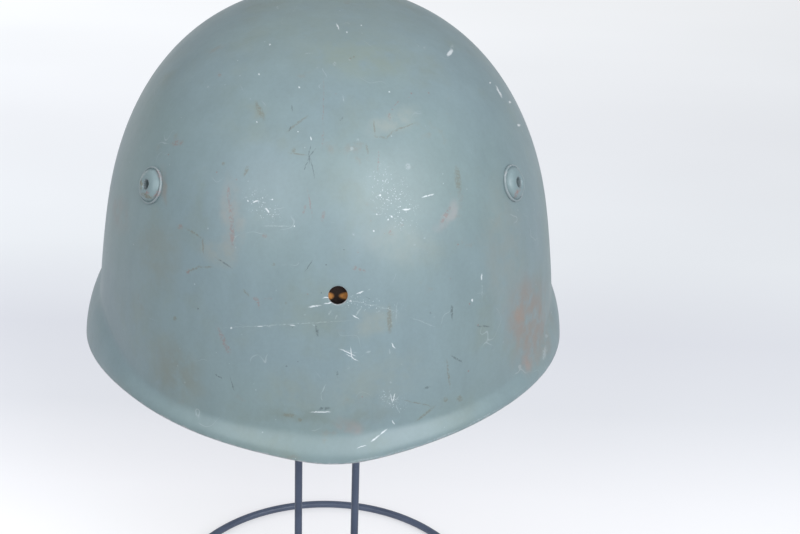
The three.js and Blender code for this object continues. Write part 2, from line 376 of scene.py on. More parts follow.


# The marks that show in the picture, read from the top of the helmet down.
MARKS: dict[Wear, tuple[Mark, ...]] = {
    Wear.BRIGHT: (
        Mark(336.5, 24, 339.5, 29.5, 1.2), spot(361.3, 25.5), spot(347, 32.2), spot(269.8, 44.4),
        Mark(448.5, 54.5, 451.5, 51, 3.6), spot(259, 74.2, 1.8), spot(298.9, 87.4, 1.8), spot(389.2, 92.2),
        spot(257, 122), spot(298, 131.6, 1.3), Mark(310.8, 137, 311.4, 139.5, 1.2), spot(490.2, 82.9, 1.8),
        Mark(496.5, 87, 501.5, 96.5, 1.6), spot(510, 102, 2.2), spot(518.9, 125.2, 2.4),
        Mark(423.4, 196.9, 432.4, 194.6, 1.6), Mark(403.3, 209.8, 409.7, 209.2, 1.8),
        spot(380.2, 195.1, 2.2), spot(377, 214.3, 1.6), spot(391.6, 216.7, 1.6), spot(388, 219.5),
        spot(373.8, 230.7, 1.8), Mark(254, 202, 257.5, 200.6, 1.5), Mark(265.8, 208.8, 268.6, 211.6, 1.5),
        spot(248, 200.5, 1.4), spot(272, 199.5, 1.4), spot(262.5, 197.5, 1.2), spot(294.3, 226.2, 1.5),
        Mark(481.9, 275, 481.9, 279.5, 1.6), spot(472.3, 300.4, 2.2), Mark(309.5, 306.8, 319.8, 305.3, 1.7),
        Mark(323.2, 297.7, 328.6, 296.8, 1.1), Mark(324.5, 304, 332.4, 302.6, 1.1),
        Mark(356.9, 293.5, 363, 291.4, 1.1), spot(351, 300.8, 1.6), Mark(352.5, 315.4, 358.7, 318.7, 1),
        spot(231.5, 328, 1.8), Mark(258, 326.4, 262.5, 325.9, 1.1), Mark(290.5, 325.2, 295, 325.8, 1.1),
        Mark(340.5, 349.2, 354.6, 355.5, 1.1), Mark(350.7, 347.8, 351.8, 358.5, 1),
        Mark(346.7, 354.2, 357.8, 360.8, 0.9), Mark(392.2, 343.5, 395, 348.2, 1.2),
        Mark(390.6, 394.5, 392.4, 402.5, 1), Mark(394.6, 394, 393.2, 401, 0.9),
        Mark(311.8, 412.2, 329, 411.9, 1.5), Mark(392.8, 420.8, 394.4, 424, 1.2),
        Mark(386.5, 429.3, 380.8, 434.2, 1.5), Mark(379, 435.6, 371.8, 441.2, 1.7),
        Mark(365.2, 445.6, 357.8, 447.9, 1),
    ),
    Wear.FAINT: (
        Mark(347, 462.6, 381, 456.2, 1.2), Mark(381, 456.2, 421, 445, 1.2), Mark(421, 445, 461, 429, 1.2),
        Mark(461, 429, 501, 407.6, 1.1), spot(277.5, 7.3, 2.4), Mark(305.5, 53.8, 312, 52.8, 1.2),
        spot(334.7, 63.8, 3.2), spot(349.9, 59.8, 2.2), spot(208.6, 86.8, 2.4),
        Mark(343, 96, 344, 101.5, 1.4), spot(357.8, 139.8, 2.6), spot(351.5, 149, 4), spot(408, 166.6, 6),
        Mark(452.2, 46, 450.5, 52, 3), spot(353.8, 234.2, 2.4), spot(414.4, 244.6, 2.2),
        spot(424.8, 238.2, 2), Mark(263.7, 226, 290, 226.2, 1), Mark(482, 281, 482.2, 297, 0.9),
        Mark(367.5, 290.8, 371.2, 288.4, 1), spot(351, 296.7, 1.8), Mark(330.5, 310.8, 328.8, 314, 1.4),
        Mark(337.2, 315.5, 335.4, 318.4, 1.4), Mark(352, 300.5, 362, 302.6, 0.9),
        Mark(364, 304.4, 375.5, 305.4, 1.2), Mark(378, 306.4, 396, 311, 1), Mark(397, 303.5, 396, 320, 1),
        Mark(361, 308, 355.6, 316, 1.4), spot(304.8, 314.8, 1.6), Mark(312.2, 324.2, 315.2, 326, 1.4),
        Mark(229, 327.6, 346, 321, 0.8), Mark(266, 325.5, 270.8, 326.8, 1.1), spot(434.4, 316.6, 1.6),
        Mark(412, 318, 436, 327, 0.8), Mark(345, 350, 357, 353, 1), spot(348.3, 368, 2.4),
        Mark(325.8, 385, 321.2, 393, 1.2), Mark(321.2, 393, 322, 401, 1), spot(390.5, 382.3, 1.8),
        Mark(387, 402.5, 390, 395, 1.1), Mark(396.5, 400, 398.5, 396.5, 1.2),
        Mark(388.5, 398, 398, 402, 1.1), Mark(396, 405.5, 399.5, 413, 1.1),
        Mark(389.7, 349.5, 389.9, 353, 1.4), Mark(366.5, 352.5, 370, 351.5, 1.6), spot(546.5, 336, 3.4),
        # The next mark is a painted highlight low on the helmet's right side.
        Mark(545.5, 348, 543.5, 358, 4),
    ),
    Wear.RUST: (
        spot(219.3, 74.5, 4.6), Mark(174, 143.6, 180.5, 142.4, 5.5), spot(236.1, 179.9, 3.4),
        Mark(323.6, 131, 322, 147, 1.8), Mark(323.8, 78, 323.2, 128, 1.1), spot(392.1, 109.2, 1.8),
        spot(408.9, 97.3, 1.6), Mark(393.5, 106, 400, 100.5, 1), Mark(389, 114, 390, 120, 2.6),
        Mark(307.8, 190, 312.6, 217, 1.4), Mark(305.4, 206, 303, 213.5, 2.6),
        Mark(323.6, 213, 322.2, 219.5, 3.4), spot(180.3, 226.7, 5), spot(187.9, 271.6, 4.6),
        Mark(257, 298.5, 258.5, 306.5, 3.6), Mark(265, 299.4, 272.5, 298.6, 2.2),
        Mark(253.8, 298, 256.4, 301, 2.4), spot(357.8, 251.4, 3.6), spot(354.6, 268, 4.4),
        spot(360.2, 269.7, 3.4), spot(363.9, 271, 3), spot(391.3, 232.6, 5.5), spot(402.5, 225.4, 3),
        Mark(218.6, 330, 228.6, 350.6, 4.6), Mark(226.8, 346.5, 229, 351.8, 5),
        Mark(228.4, 186, 229.4, 205, 3), Mark(230.6, 205, 232, 226, 5), Mark(231.8, 226, 232.4, 246, 5),
        spot(264.5, 236, 5), Mark(378.8, 150, 378, 174, 1.4), Mark(441.8, 222, 450, 208, 4),
    ),
    Wear.BROWN: (
        spot(350.9, 58.6, 2.8), spot(353.8, 56.6, 2), Mark(257, 104, 263, 117, 5.5),
        Mark(288.9, 130, 305.8, 117, 2.4), Mark(373.8, 121, 375.4, 136, 1.6),
        Mark(375.4, 136.3, 386.5, 137.9, 1.8), Mark(386.5, 137.9, 392, 131.8, 1.8),
        Mark(392, 131.8, 413.6, 123.6, 1.8), Mark(366.4, 145, 368, 153.5, 2.4), spot(223.1, 163.8, 3.4),
        Mark(245, 174, 247.5, 168, 3.6), spot(294, 150, 4.6), Mark(290, 153, 307, 155.4, 1.4),
        Mark(187.9, 271.8, 199, 266.8, 2.2), Mark(199, 266.8, 212, 267.4, 2),
        Mark(187, 229, 202.5, 238.2, 2), Mark(202.5, 238.2, 203.4, 253, 2), spot(174.9, 318.5, 4),
        Mark(243.8, 290, 248.6, 295, 2.4), spot(285.9, 303.2, 3), spot(273.6, 264.2, 3.4),
        Mark(284, 415, 294.5, 415.8, 4), spot(300, 420, 3.6), Mark(389.2, 308, 389.9, 331, 5),
        Mark(434.4, 406.5, 417.6, 420.1, 2.6), Mark(404, 400.2, 432.8, 406.2, 1.2),
        Mark(447, 362, 449.8, 386, 2.2), spot(459.9, 398.6, 6), spot(445.5, 399.4, 4.4),
        Mark(457, 170, 459, 190, 6),
    ),
    Wear.DARK: (
        Mark(291.8, 105, 292.4, 110.5, 1.3), Mark(340.2, 120.2, 342.6, 117.4, 1.5),
        Mark(309.3, 150, 309.3, 163, 1.2), Mark(309.3, 156.4, 316, 148.6, 1),
        Mark(310.5, 146, 308.8, 152, 1), Mark(309, 157, 303.4, 172, 0.9), Mark(311, 160, 314.5, 178, 0.9),
        Mark(291, 127, 289, 131, 1.2), spot(326, 264.8, 1.8), spot(311.7, 260.4, 1.6),
        Mark(312.7, 259.6, 305.8, 270.3, 1), spot(321.4, 292.7, 1.4), spot(344, 249.6, 1.2),
        spot(430.7, 312.8, 2), Mark(216.2, 258, 230.8, 267.4, 1.4), Mark(451.8, 306, 452.2, 318, 2.4),
        Mark(478, 326, 488, 326.4, 2), spot(286.6, 366.4, 1.6), spot(298.1, 361.4, 1.4),
        Mark(230, 377, 234, 390, 1.1), Mark(216, 374.5, 221.5, 378.5, 1.2), Mark(452, 356, 461, 361.4, 2),
        Mark(425, 388, 429.6, 386.6, 2.4), Mark(320, 408.6, 329, 408.2, 3), Mark(337, 372, 337.6, 377, 2),
        Mark(316, 326.8, 318, 336, 2.6), Mark(366, 297, 372, 300, 1), spot(197.6, 308.6, 1.6),
        spot(292.5, 328, 1.6),
    ),
}


@dataclass(frozen=True)
class Stain:
    """A soft patch of colour on the paint, by where its two ends show in the picture: mostly stained paint,
    with a few patches of painted shade.
    """

    mark: Mark
    colour: Colour
    strength: float


STAINS_AND_SHADE: tuple[Stain, ...] = (
    Stain(Mark(300, 22, 380, 30, 110), shown(144, 160, 153), 0.30),
    Stain(Mark(320, 56, 395, 60, 40), shown(147, 161, 148), 0.40),
    Stain(Mark(529, 296, 529, 350, 44), shown(160, 136, 123), 0.62),
    Stain(Mark(519, 308, 520, 322, 12), shown(180, 142, 118), 0.28),
    Stain(Mark(527, 358, 531, 366, 12), shown(189, 150, 135), 0.28),
    Stain(Mark(168, 358, 186, 384, 46), shown(136, 136, 120), 0.42),
    Stain(Mark(160, 238, 162, 270, 46), shown(140, 142, 130), 0.34),
    Stain(Mark(118, 208, 122, 224, 22), shown(161, 148, 144), 0.30),
    Stain(Mark(229, 186, 232, 248, 22), shown(176, 166, 156), 0.42),
    Stain(Mark(210, 248, 226, 258, 24), shown(166, 164, 151), 0.36),
    Stain(Mark(339, 422, 358, 428, 17), shown(174, 156, 151), 0.46),
    Stain(Mark(500, 200, 506, 300, 50), shown(161, 159, 148), 0.24),
    Stain(Mark(378, 240, 420, 248, 44), shown(188, 188, 174), 0.16),
    Stain(Mark(376, 128, 404, 116, 26), shown(184, 186, 173), 0.34),
    Stain(Mark(386, 318, 366, 326, 30), shown(169, 171, 156), 0.34),
    Stain(Mark(262, 108, 256, 112, 16), shown(148, 152, 136), 0.40),
    Stain(Mark(284, 392, 300, 398, 50), shown(150, 157, 139), 0.26),
    Stain(Mark(352, 392, 400, 376, 60), shown(161, 168, 154), 0.24),
    Stain(Mark(441, 224, 452, 206, 12), shown(201, 182, 180), 0.30),
    Stain(Mark(163, 172, 166, 200, 9), shown(152, 139, 128), 0.55),
    # The last two are painted shade: a darker band along the wall just above the visor's turn.
    Stain(Mark(262, 414, 330, 421, 17), shown(124, 138, 132), 0.50),
    Stain(Mark(332, 423, 392, 414, 15), shown(126, 138, 134), 0.42),
)

# The marks on the rivets.
RIVET_MARKS: dict[Wear, tuple[Mark, ...]] = {
    Wear.RUST: (
        Mark(158, 172, 163, 180, 5), Mark(160, 190, 155, 197, 5), spot(147, 192, 4),
        Mark(519, 190, 515, 196, 4), spot(505, 172, 3),
    ),
    Wear.BROWN: (Mark(150, 197.5, 143, 194.5, 4), Mark(141, 188, 141.5, 181, 3)),
    # The first pale mark is a painted highlight at the upper left of the left rivet's lip.
    Wear.FAINT: (Mark(141, 178, 148, 170.5, 2), Mark(502, 178, 508, 171, 2)),
}

# Parts where the paint is peppered with tiny bright specks.
SPECKLED: tuple[Mark, ...] = (
    Mark(384, 182, 402, 214, 44),
    Mark(254, 199, 270, 213, 26),
    Mark(338, 300, 398, 308, 16),
    Mark(386, 396, 398, 404, 20),
)


class Layers:
    """The colour, roughness, shine and relief of a surface, built up layer by layer."""

    def __init__(self, graph: Graph, colour: Socket, roughness: Operand, relief: Operand) -> None:
        """Starts from a plain surface. Relief is in millimetres.

        Args:
            graph: The graph of the finish's tree.
            colour: The colour.
            roughness: The roughness.
            relief: The height of the surface.
        """
        self.graph = graph
        self.colour = colour
        self.roughness = roughness
        self.relief = relief

    def add(self, mask: Socket, colour: Operand, roughness: float | None = None, relief: float = 0.0) -> None:
        """Lays a finish over the parts where the mask is 1.

        Args:
            mask: Where the finish lies, from 0 to 1.
            colour: Its colour.
            roughness: Its roughness, or None to keep what is there.
            relief: How far it stands up, in millimetres. Below 0 it is sunk.
        """
        self.colour = self.graph.blend(mask, self.colour, colour)
        if roughness is not None:
            self.roughness = self.roughness + mask * (roughness - self.roughness)
        if relief:
            self.relief = self.relief + mask * relief

    def shader(self, **constants: float) -> None:
        """Ends the material.

        Args:
            constants: Values for other inputs of the shader, by name.
        """
        inputs = {"Height": self.relief, "Distance": MM, "Strength": 1.0}
        normal = self.graph.node("ShaderNodeBump", None, inputs, "Normal")
        surface = {"Base Color": self.colour, "Roughness": self.roughness, "Normal": normal}
        finish_material(self.graph, surface | {name.replace("_", " "): v for name, v in constants.items()})


@dataclass(frozen=True)
class WornPaint:
    """Old semi-gloss paint on pressed steel: mottled, stained, scratched, and rubbed through at its edges, with
    a little painted shade and a few painted highlights among its marks.
    """

    name: str
    marks: dict[Wear, tuple[Mark, ...]]
    stains_and_shade: tuple[Stain, ...]
    cool: Colour = shown(138, 159, 165)
    green: Colour = shown(139, 160, 160)
    dull: Colour = shown(138, 152, 144)
    bright: Colour = shown(232, 238, 242)
    faint: Colour = shown(188, 200, 202)
    rust: Colour = shown(158, 124, 120)
    brown: Colour = shown(126, 122, 102)
    dark: Colour = shown(76, 86, 88)
    bloom: Colour = shown(150, 140, 130)
    worn_edge: Colour = shown(196, 196, 200)
    inside: Colour = shown(126, 136, 134)
    rust_cover: float = 0.55
    edge_wear: float = 0.85
    roughness: float = 0.45

    def build(self) -> bpy.types.Material:
        """Makes the material.

        Returns:
            The material.
        """
        material, graph = new_material(self.name)
        at = graph.millimetres()
        layers = self._ground(graph, at)
        self._old_age(graph, layers, at)
        self._picture_marks(graph, layers, at)
        self._edges(graph, layers, at)
        layers.shader()
        return material

    def _ground(self, graph: Graph, at: Socket) -> Layers:
        """The sprayed paint, with its slow drift of tone and its fine skin.

        Args:
            graph: The graph of the finish's tree.
            at: The place on the piece, in millimetres.

        Returns:
            The finish so far.
        """
        colour = graph.blend(graph.noise(at, 0.011, 2.0).ramp(0.42, 0.72) * 0.75, self.cool, self.green)
        colour = graph.blend(graph.noise(at, 0.034, 4.0, 0.6).ramp(0.5, 0.8) * 0.55, colour, self.dull)
        drips = graph.noise(at.times((1.0, 1.0, 0.35)), 0.09, 5.0, 0.65) * 0.26
        colour = colour.times(drips + graph.noise(at, 0.55, 3.0, 0.6) * 0.14 + 0.80)
        roughness = graph.noise(at, 0.05, 3.0, 0.6) * 0.14 + (self.roughness - 0.07)
        skin = graph.noise(at, 1.4, 2.0, 0.5) * 0.010 + graph.noise(at, 0.09, 1.0) * 0.10
        return Layers(graph, colour, roughness, skin)

    def _old_age(self, graph: Graph, layers: Layers, at: Socket) -> None:
        """Wear that lies all over: rust bloom, pinholes, specks and hair scratches.

        Args:
            graph: The graph of the finish's tree.
            layers: The finish so far.
            at: The place on the piece, in millimetres.
        """
        bloom = graph.noise(at, 0.045, 6.0, 0.68).ramp(0.63, 0.72)
        layers.add(bloom * 0.30, self.bloom, 0.6)
        cells = graph.node("ShaderNodeTexVoronoi", None, {"Vector": at, "Scale": 0.17}, "Distance")
        chance = graph.noise(at, 0.05, 2.0)
        speck = cells.ramp(0.075, 0.045) * chance.ramp(0.50, 0.60)
        layers.add(speck * 0.7, self.faint, 0.5, -0.02)
        elsewhere = at.plus((31.0, 17.0, 5.0))
        pits = graph.node("ShaderNodeTexVoronoi", None, {"Vector": elsewhere, "Scale": 0.12}, "Distance")
        layers.add(pits.ramp(0.06, 0.03) * chance.ramp(0.47, 0.38) * 0.8, self.rust, 0.7, -0.03)
        drift = abs(graph.noise(at, 0.018, 3.0, 0.55) - 0.5)
        hair = drift.ramp(0.0016, 0.0004) * graph.noise(at, 0.07, 2.0).ramp(0.56, 0.64)
        layers.add(hair * 0.5, self.faint, 0.5, -0.01)

    def _picture_marks(self, graph: Graph, layers: Layers, at: Socket) -> None:
        """The stained patches, the painted shade and the marks that show in the picture, a few of the marks
        painted highlights. They lie on the outside of the front alone.

        Args:
            graph: The graph of the finish's tree.
            layers: The finish so far.
            at: The place on the piece, in millimetres.
        """
        seen = graph.value("seen")
        wobble = graph.noise_colour(at, 0.5, 3.0, 0.6).plus((-0.5, -0.5, -0.5)).times((3.0, 3.0, 0.0))
        place = graph.value("picture", "Vector").plus(wobble)
        soft = graph.noise_colour(at, 0.08, 3.0).plus((-0.5, -0.5, -0.5)).times((26.0, 26.0, 0.0))
        clouded = graph.value("picture", "Vector").plus(soft)
        cloud = graph.noise(at, 0.12, 4.0, 0.65)
        # Stained patches, and two patches of painted shade above the visor.
        for tint in self.stains_and_shade:
            cover = tint.mark.cover(clouded).ramp(0.05, 0.75) * cloud.ramp(0.25, 0.62)
            layers.add(cover * seen * tint.strength, tint.colour, 0.52)
        fine = graph.noise(at, 0.9, 3.0, 0.7)
        solid, broken, crumbled = fine.ramp(0.25, 0.45), fine.ramp(0.36, 0.56), fine.ramp(0.42, 0.60)
        finishes = {
            Wear.BROWN: (self.brown, self.rust_cover, 0.62, 0.0, broken),
            Wear.RUST: (self.rust, self.rust_cover, 0.66, 0.0, crumbled),
            Wear.FAINT: (self.faint, 0.55, 0.50, 0.0, broken),
            Wear.DARK: (self.dark, 0.6, 0.60, -0.05, broken),
            Wear.BRIGHT: (self.bright, 0.96, 0.38, -0.04, solid),
        }
        for wear, (colour, strength, roughness, relief, grain) in finishes.items():
            if wear in self.marks:
                mask = self._any(self.marks[wear], place).ramp(0.0, 0.6) * grain
                layers.add(mask * seen * strength, colour, roughness, relief)
        if not self.stains_and_shade:
            return
        peppered = self._any(SPECKLED, place).ramp(0.1, 0.75)
        grains = graph.node("ShaderNodeTexVoronoi", None, {"Vector": at, "Scale": 1.1}, "Distance")
        specks = grains.ramp(0.30, 0.16) * graph.noise(at, 0.5, 3.0, 0.7).ramp(0.43, 0.53)
        layers.add(specks * peppered * seen * 0.75, self.bright, 0.4, -0.02)

    @staticmethod
    def _any(marks: Iterable[Mark], place: Socket) -> Socket:
        """How far inside any of some marks a place is.

        Args:
            marks: The marks.
            place: The place in the picture.

        Returns:
            The share, from 0 to 1.
        """
        inside = None
        for mark in marks:
            cover = mark.cover(place)
            inside = inside.larger(cover) if inside else cover
        return inside

    def _edges(self, graph: Graph, layers: Layers, at: Socket) -> None:
        """Paint rubbed thin along edges, and the plainer finish inside.

        Args:
            graph: The graph of the finish's tree.
            layers: The finish so far.
            at: The place on the piece, in millimetres.
        """
        layers.add(graph.value("inside") * 0.85, self.inside, 0.58)
        ragged = graph.noise(at, 0.30, 4.0, 0.7)
        worn = (graph.value("edge") + ragged * 1.6).ramp(1.2, 1.75)
        layers.add(worn * self.edge_wear, self.worn_edge, 0.40)


# How far under the shell's outside the leather behind the front hole is looked for.
HOLE_LEATHER_DEPTH = 5.0


@dataclass(frozen=True)
class Leather:
    """Vegetable-tanned lining leather, darkened by use, with a fine grain and worn edges, and with painted
    shade and painted lamp light where the front hole bares it.
    """

    name: str
    tan: Colour = srgb(176, 112, 56)
    deep: Colour = srgb(120, 70, 34)
    edge: Colour = srgb(86, 52, 30)
    # Painted shade behind the front hole, and the painted light of the lamps that shine in through it.
    hole_shade: Colour = srgb(22, 14, 12)
    light_pool_tan: Colour = srgb(206, 140, 74)
    # Each painted pool of lamp light's distance from the middle and half width; their height and half height.
    rubbed: tuple[tuple[float, float], ...] = ((-4.0, 3.2), (4.0, 4.2))
    light_pool_height: float = -2.3
    light_pool_size: float = 2.5
    light_pool_reach: float = 8.0
    shade_size: tuple[float, float, float] = (14.0, 14.0, 12.0)

    def build(self) -> bpy.types.Material:
        """Makes the material.

        Returns:
            The material.
        """
        material, graph = new_material(self.name)
        at = graph.millimetres()
        to_edge = {"feature": "DISTANCE_TO_EDGE"}
        pebble = graph.node("ShaderNodeTexVoronoi", to_edge, {"Vector": at, "Scale": 0.9}, "Distance")
        crease = abs(graph.noise(at, 0.06, 4.0, 0.6) - 0.5).ramp(0.03, 0.0)
        colour = graph.blend(graph.noise(at, 0.03, 5.0, 0.62).ramp(0.38, 0.66), self.tan, self.deep)
        colour = colour.times(graph.noise(at, 1.2, 2.0) * 0.24 + 0.88)
        relief = pebble.ramp(0.0, 0.16) * 0.05 - crease * 0.12 + graph.noise(at, 0.12, 2.0) * 0.3
        layers = Layers(graph, colour, graph.noise(at, 0.1, 3.0) * 0.2 + 0.5, relief)
        layers.add(crease * 0.35, self.deep, 0.7)
        layers.add(graph.value("edge").ramp(0.3, 1.0) * 0.75, self.edge, 0.72)
        # Painted shade and painted lamp light on the leather behind the front hole.
        self._behind_hole(graph, layers, at)
        layers.shader()
        return material

    def _behind_hole(self, graph: Graph, layers: Layers, at: Socket) -> None:
        """The patch of leather that the front hole bares, with painted light and shade: painted dark shade over
        it, and two painted tan pools of the lamps' light shining in through the hole.

        Args:
            graph: The graph of the finish's tree.
            layers: The finish so far.
            at: The place on the piece, in millimetres.
        """
        hole = np.array([FRONT_HOLE.direction, FRONT_HOLE.height])
        middle = FORM.place(FORM.under(*hole, HOLE_LEATHER_DEPTH)) / MM
        local = at.plus(tuple(-middle))
        # Painted shade: this mask makes the leather behind the hole very dark.
        dirt = self._spot(graph, local, (0.0, 0.0, 0.0), self.shade_size)
        layers.add(dirt.ramp(0.0, 0.2) * 0.97, self.hole_shade, 0.8)
        # Painted light: a tan pool where each lamp shines in through the hole.
        for side, size in self.rubbed:
            reach = (size, self.light_pool_reach, self.light_pool_size)
            cover = self._spot(graph, local, (side, 0.0, self.light_pool_height), reach)
            layers.add(cover.ramp(0.05, 0.55), self.light_pool_tan, 0.6)

    @staticmethod
    def _spot(graph: Graph, at: Socket, middle: Sequence[float], size: Sequence[float]) -> Socket:
        """How far inside an oval a place is: 1 in its middle, 0 past its edge."""
        return graph.oval({"Vector": at, "Location": middle, "Scale": size})


@dataclass(frozen=True)
class WaxedThread:
    """Twisted, waxed sewing thread."""

    name: str
    colour: Colour = srgb(196, 182, 146)

    def build(self) -> bpy.types.Material:
        """Makes the material.

        Returns:
            The material.
        """
        material, graph = new_material(self.name)
        at = graph.millimetres()
        dirt = graph.noise(at, 0.2, 3.0)
        colour = graph.blend(dirt.ramp(0.4, 0.7) * 0.6, self.colour, srgb(120, 98, 66))
        layers = Layers(graph, colour, dirt * 0.2 + 0.55, graph.noise(at, 4.0, 1.0) * 0.08)
        layers.shader()
        return material


@dataclass(frozen=True)
class WirePaint:
    """Dark blue-grey paint on wire, with a fine skin and a few rubbed places."""

    name: str
    colour: Colour = srgb(66, 76, 96)
    rubbed: Colour = srgb(104, 112, 126)

    def build(self) -> bpy.types.Material:
        """Makes the material.

        Returns:
            The material.
        """
        material, graph = new_material(self.name)
        at = graph.millimetres()
        colour = graph.blend(graph.noise(at, 0.05, 4.0, 0.6).ramp(0.35, 0.75), self.colour, srgb(54, 63, 82))
        skin = graph.noise(at, 2.2, 2.0) * 0.03
        layers = Layers(graph, colour, graph.noise(at, 0.08, 3.0) * 0.16 + 0.36, skin)
        layers.add(graph.noise(at, 0.22, 5.0, 0.75).ramp(0.68, 0.74) * 0.7, self.rubbed, 0.5, -0.03)
        layers.shader()
        return material


class Draft:
    """A mesh under construction: points in metres with named values, and faces."""

    def __init__(self, *value_names: str) -> None:
        """Starts an empty mesh whose points carry these values.

        Args:
            value_names: The values' names.
        """
        self.points: list[Array] = []
        self.values: dict[str, list[Array]] = {name: [] for name in value_names}
        self.faces: list[Array] = []
        self.count = 0

    def add(self, points: Array, **values: Array | float) -> Array:
        """Adds points.

        Args:
            points: Places in metres, of any shape that ends in 3.
            values: One value for each point, or one for all.

        Returns:
            The points' numbers, in the same shape without its last part.
        """
        shape = points.shape[:-1]
        numbers = np.arange(math.prod(shape)).reshape(shape) + self.count
        self.points.append(points.reshape(-1, 3))
        for name, kept in self.values.items():
            kept.append(np.broadcast_to(values.get(name, 0.0), shape).reshape(-1).astype(float))
        self.count += numbers.size
        return numbers

    def grid(self, numbers: Array, keep: Array | None = None) -> None:
        """Adds the faces of a grid of point numbers, or those of its cells where keep is true.

        Args:
            numbers: The points' numbers, by row and column.
            keep: Whether each cell is kept, or None for all.
        """
        corners = (numbers[:-1, :-1], numbers[:-1, 1:], numbers[1:, 1:], numbers[1:, :-1])
        cells = np.stack(corners, axis=-1)
        self.faces.append(cells.reshape(-1, 4) if keep is None else cells[keep])

    def build(self, name: str, material: bpy.types.Material) -> bpy.types.Object:
        """Makes the object: seams and poles are welded, and the faces turned outwards.

        Args:
            name: The piece's name.
            material: Its finish.

        Returns:
            The object, at the origin, with its place in its mesh.
        """
        mesh = bpy.data.meshes.new(name)
        mesh.from_pydata(np.concatenate(self.points), [], np.concatenate(self.faces).tolist())
        for key, kept in self.values.items():
            mesh.attributes.new(key, "FLOAT", "POINT").data.foreach_set("value", np.concatenate(kept))
        work = bmesh.new()
        work.from_mesh(mesh)
        bmesh.ops.remove_doubles(work, verts=work.verts, dist=WELD)
        bmesh.ops.dissolve_degenerate(work, edges=work.edges, dist=WELD)
        bmesh.ops.recalc_face_normals(work, faces=work.faces)
        work.to_mesh(mesh)
        work.free()
        mesh.shade_smooth()
        return place_object(mesh, material)


# Points closer than this, in metres, are one point.
WELD = 1e-6
# How squarely a face looks at the camera where the picture's marks begin, and where they are whole.
SEEN_WHEN_FACING = (0.04, 0.22)


def place_object(mesh: bpy.types.Mesh, material: bpy.types.Material) -> bpy.types.Object:
    """Puts a mesh in the scene, with its finish.

    Args:
        mesh: The mesh.
        material: Its finish.

    Returns:
        The object.
    """
    mesh.materials.clear()
    mesh.materials.append(material)
    piece = bpy.data.objects.new(mesh.name, mesh)
    bpy.context.scene.collection.objects.link(piece)
    return piece


def mark_picture(piece: bpy.types.Object) -> None:
    """Gives a piece's points their place in the picture, and a value that says if the camera sees them.

    Args:
        piece: The piece, whose points carry the value inside.
    """
    mesh = piece.data
    count = len(mesh.vertices)
    points, normals, inside = np.empty(count * 3), np.empty(count * 3), np.empty(count)
    mesh.attributes["inside"].data.foreach_get("value", inside)
    mesh.vertices.foreach_get("co", points)
    mesh.vertices.foreach_get("normal", normals)
    points, normals = points.reshape(-1, 3), normals.reshape(-1, 3)
    seen = smooth(CAMERA.facing(points, normals), *SEEN_WHEN_FACING) * (1.0 - inside)
    picture = mesh.attributes.new("picture", "FLOAT_VECTOR", "POINT")
    picture.data.foreach_set("vector", CAMERA.picture(points).ravel())
    mesh.attributes.new("seen", "FLOAT", "POINT").data.foreach_set("value", seen)


def settle(piece: bpy.types.Object, slot: str | None, *nodes: str) -> None:
    """Makes a finished piece ride on the body and stand for its CAD nodes.

    Args:
        piece: The piece.
        slot: The record's material slot, or None. Not used.
        nodes: The CAD nodes that it replaces.
    """
    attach(piece, BODY)
    if nodes:
        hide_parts(*nodes)
    LOG.info("%s: %d faces", piece.name, len(piece.data.polygons))


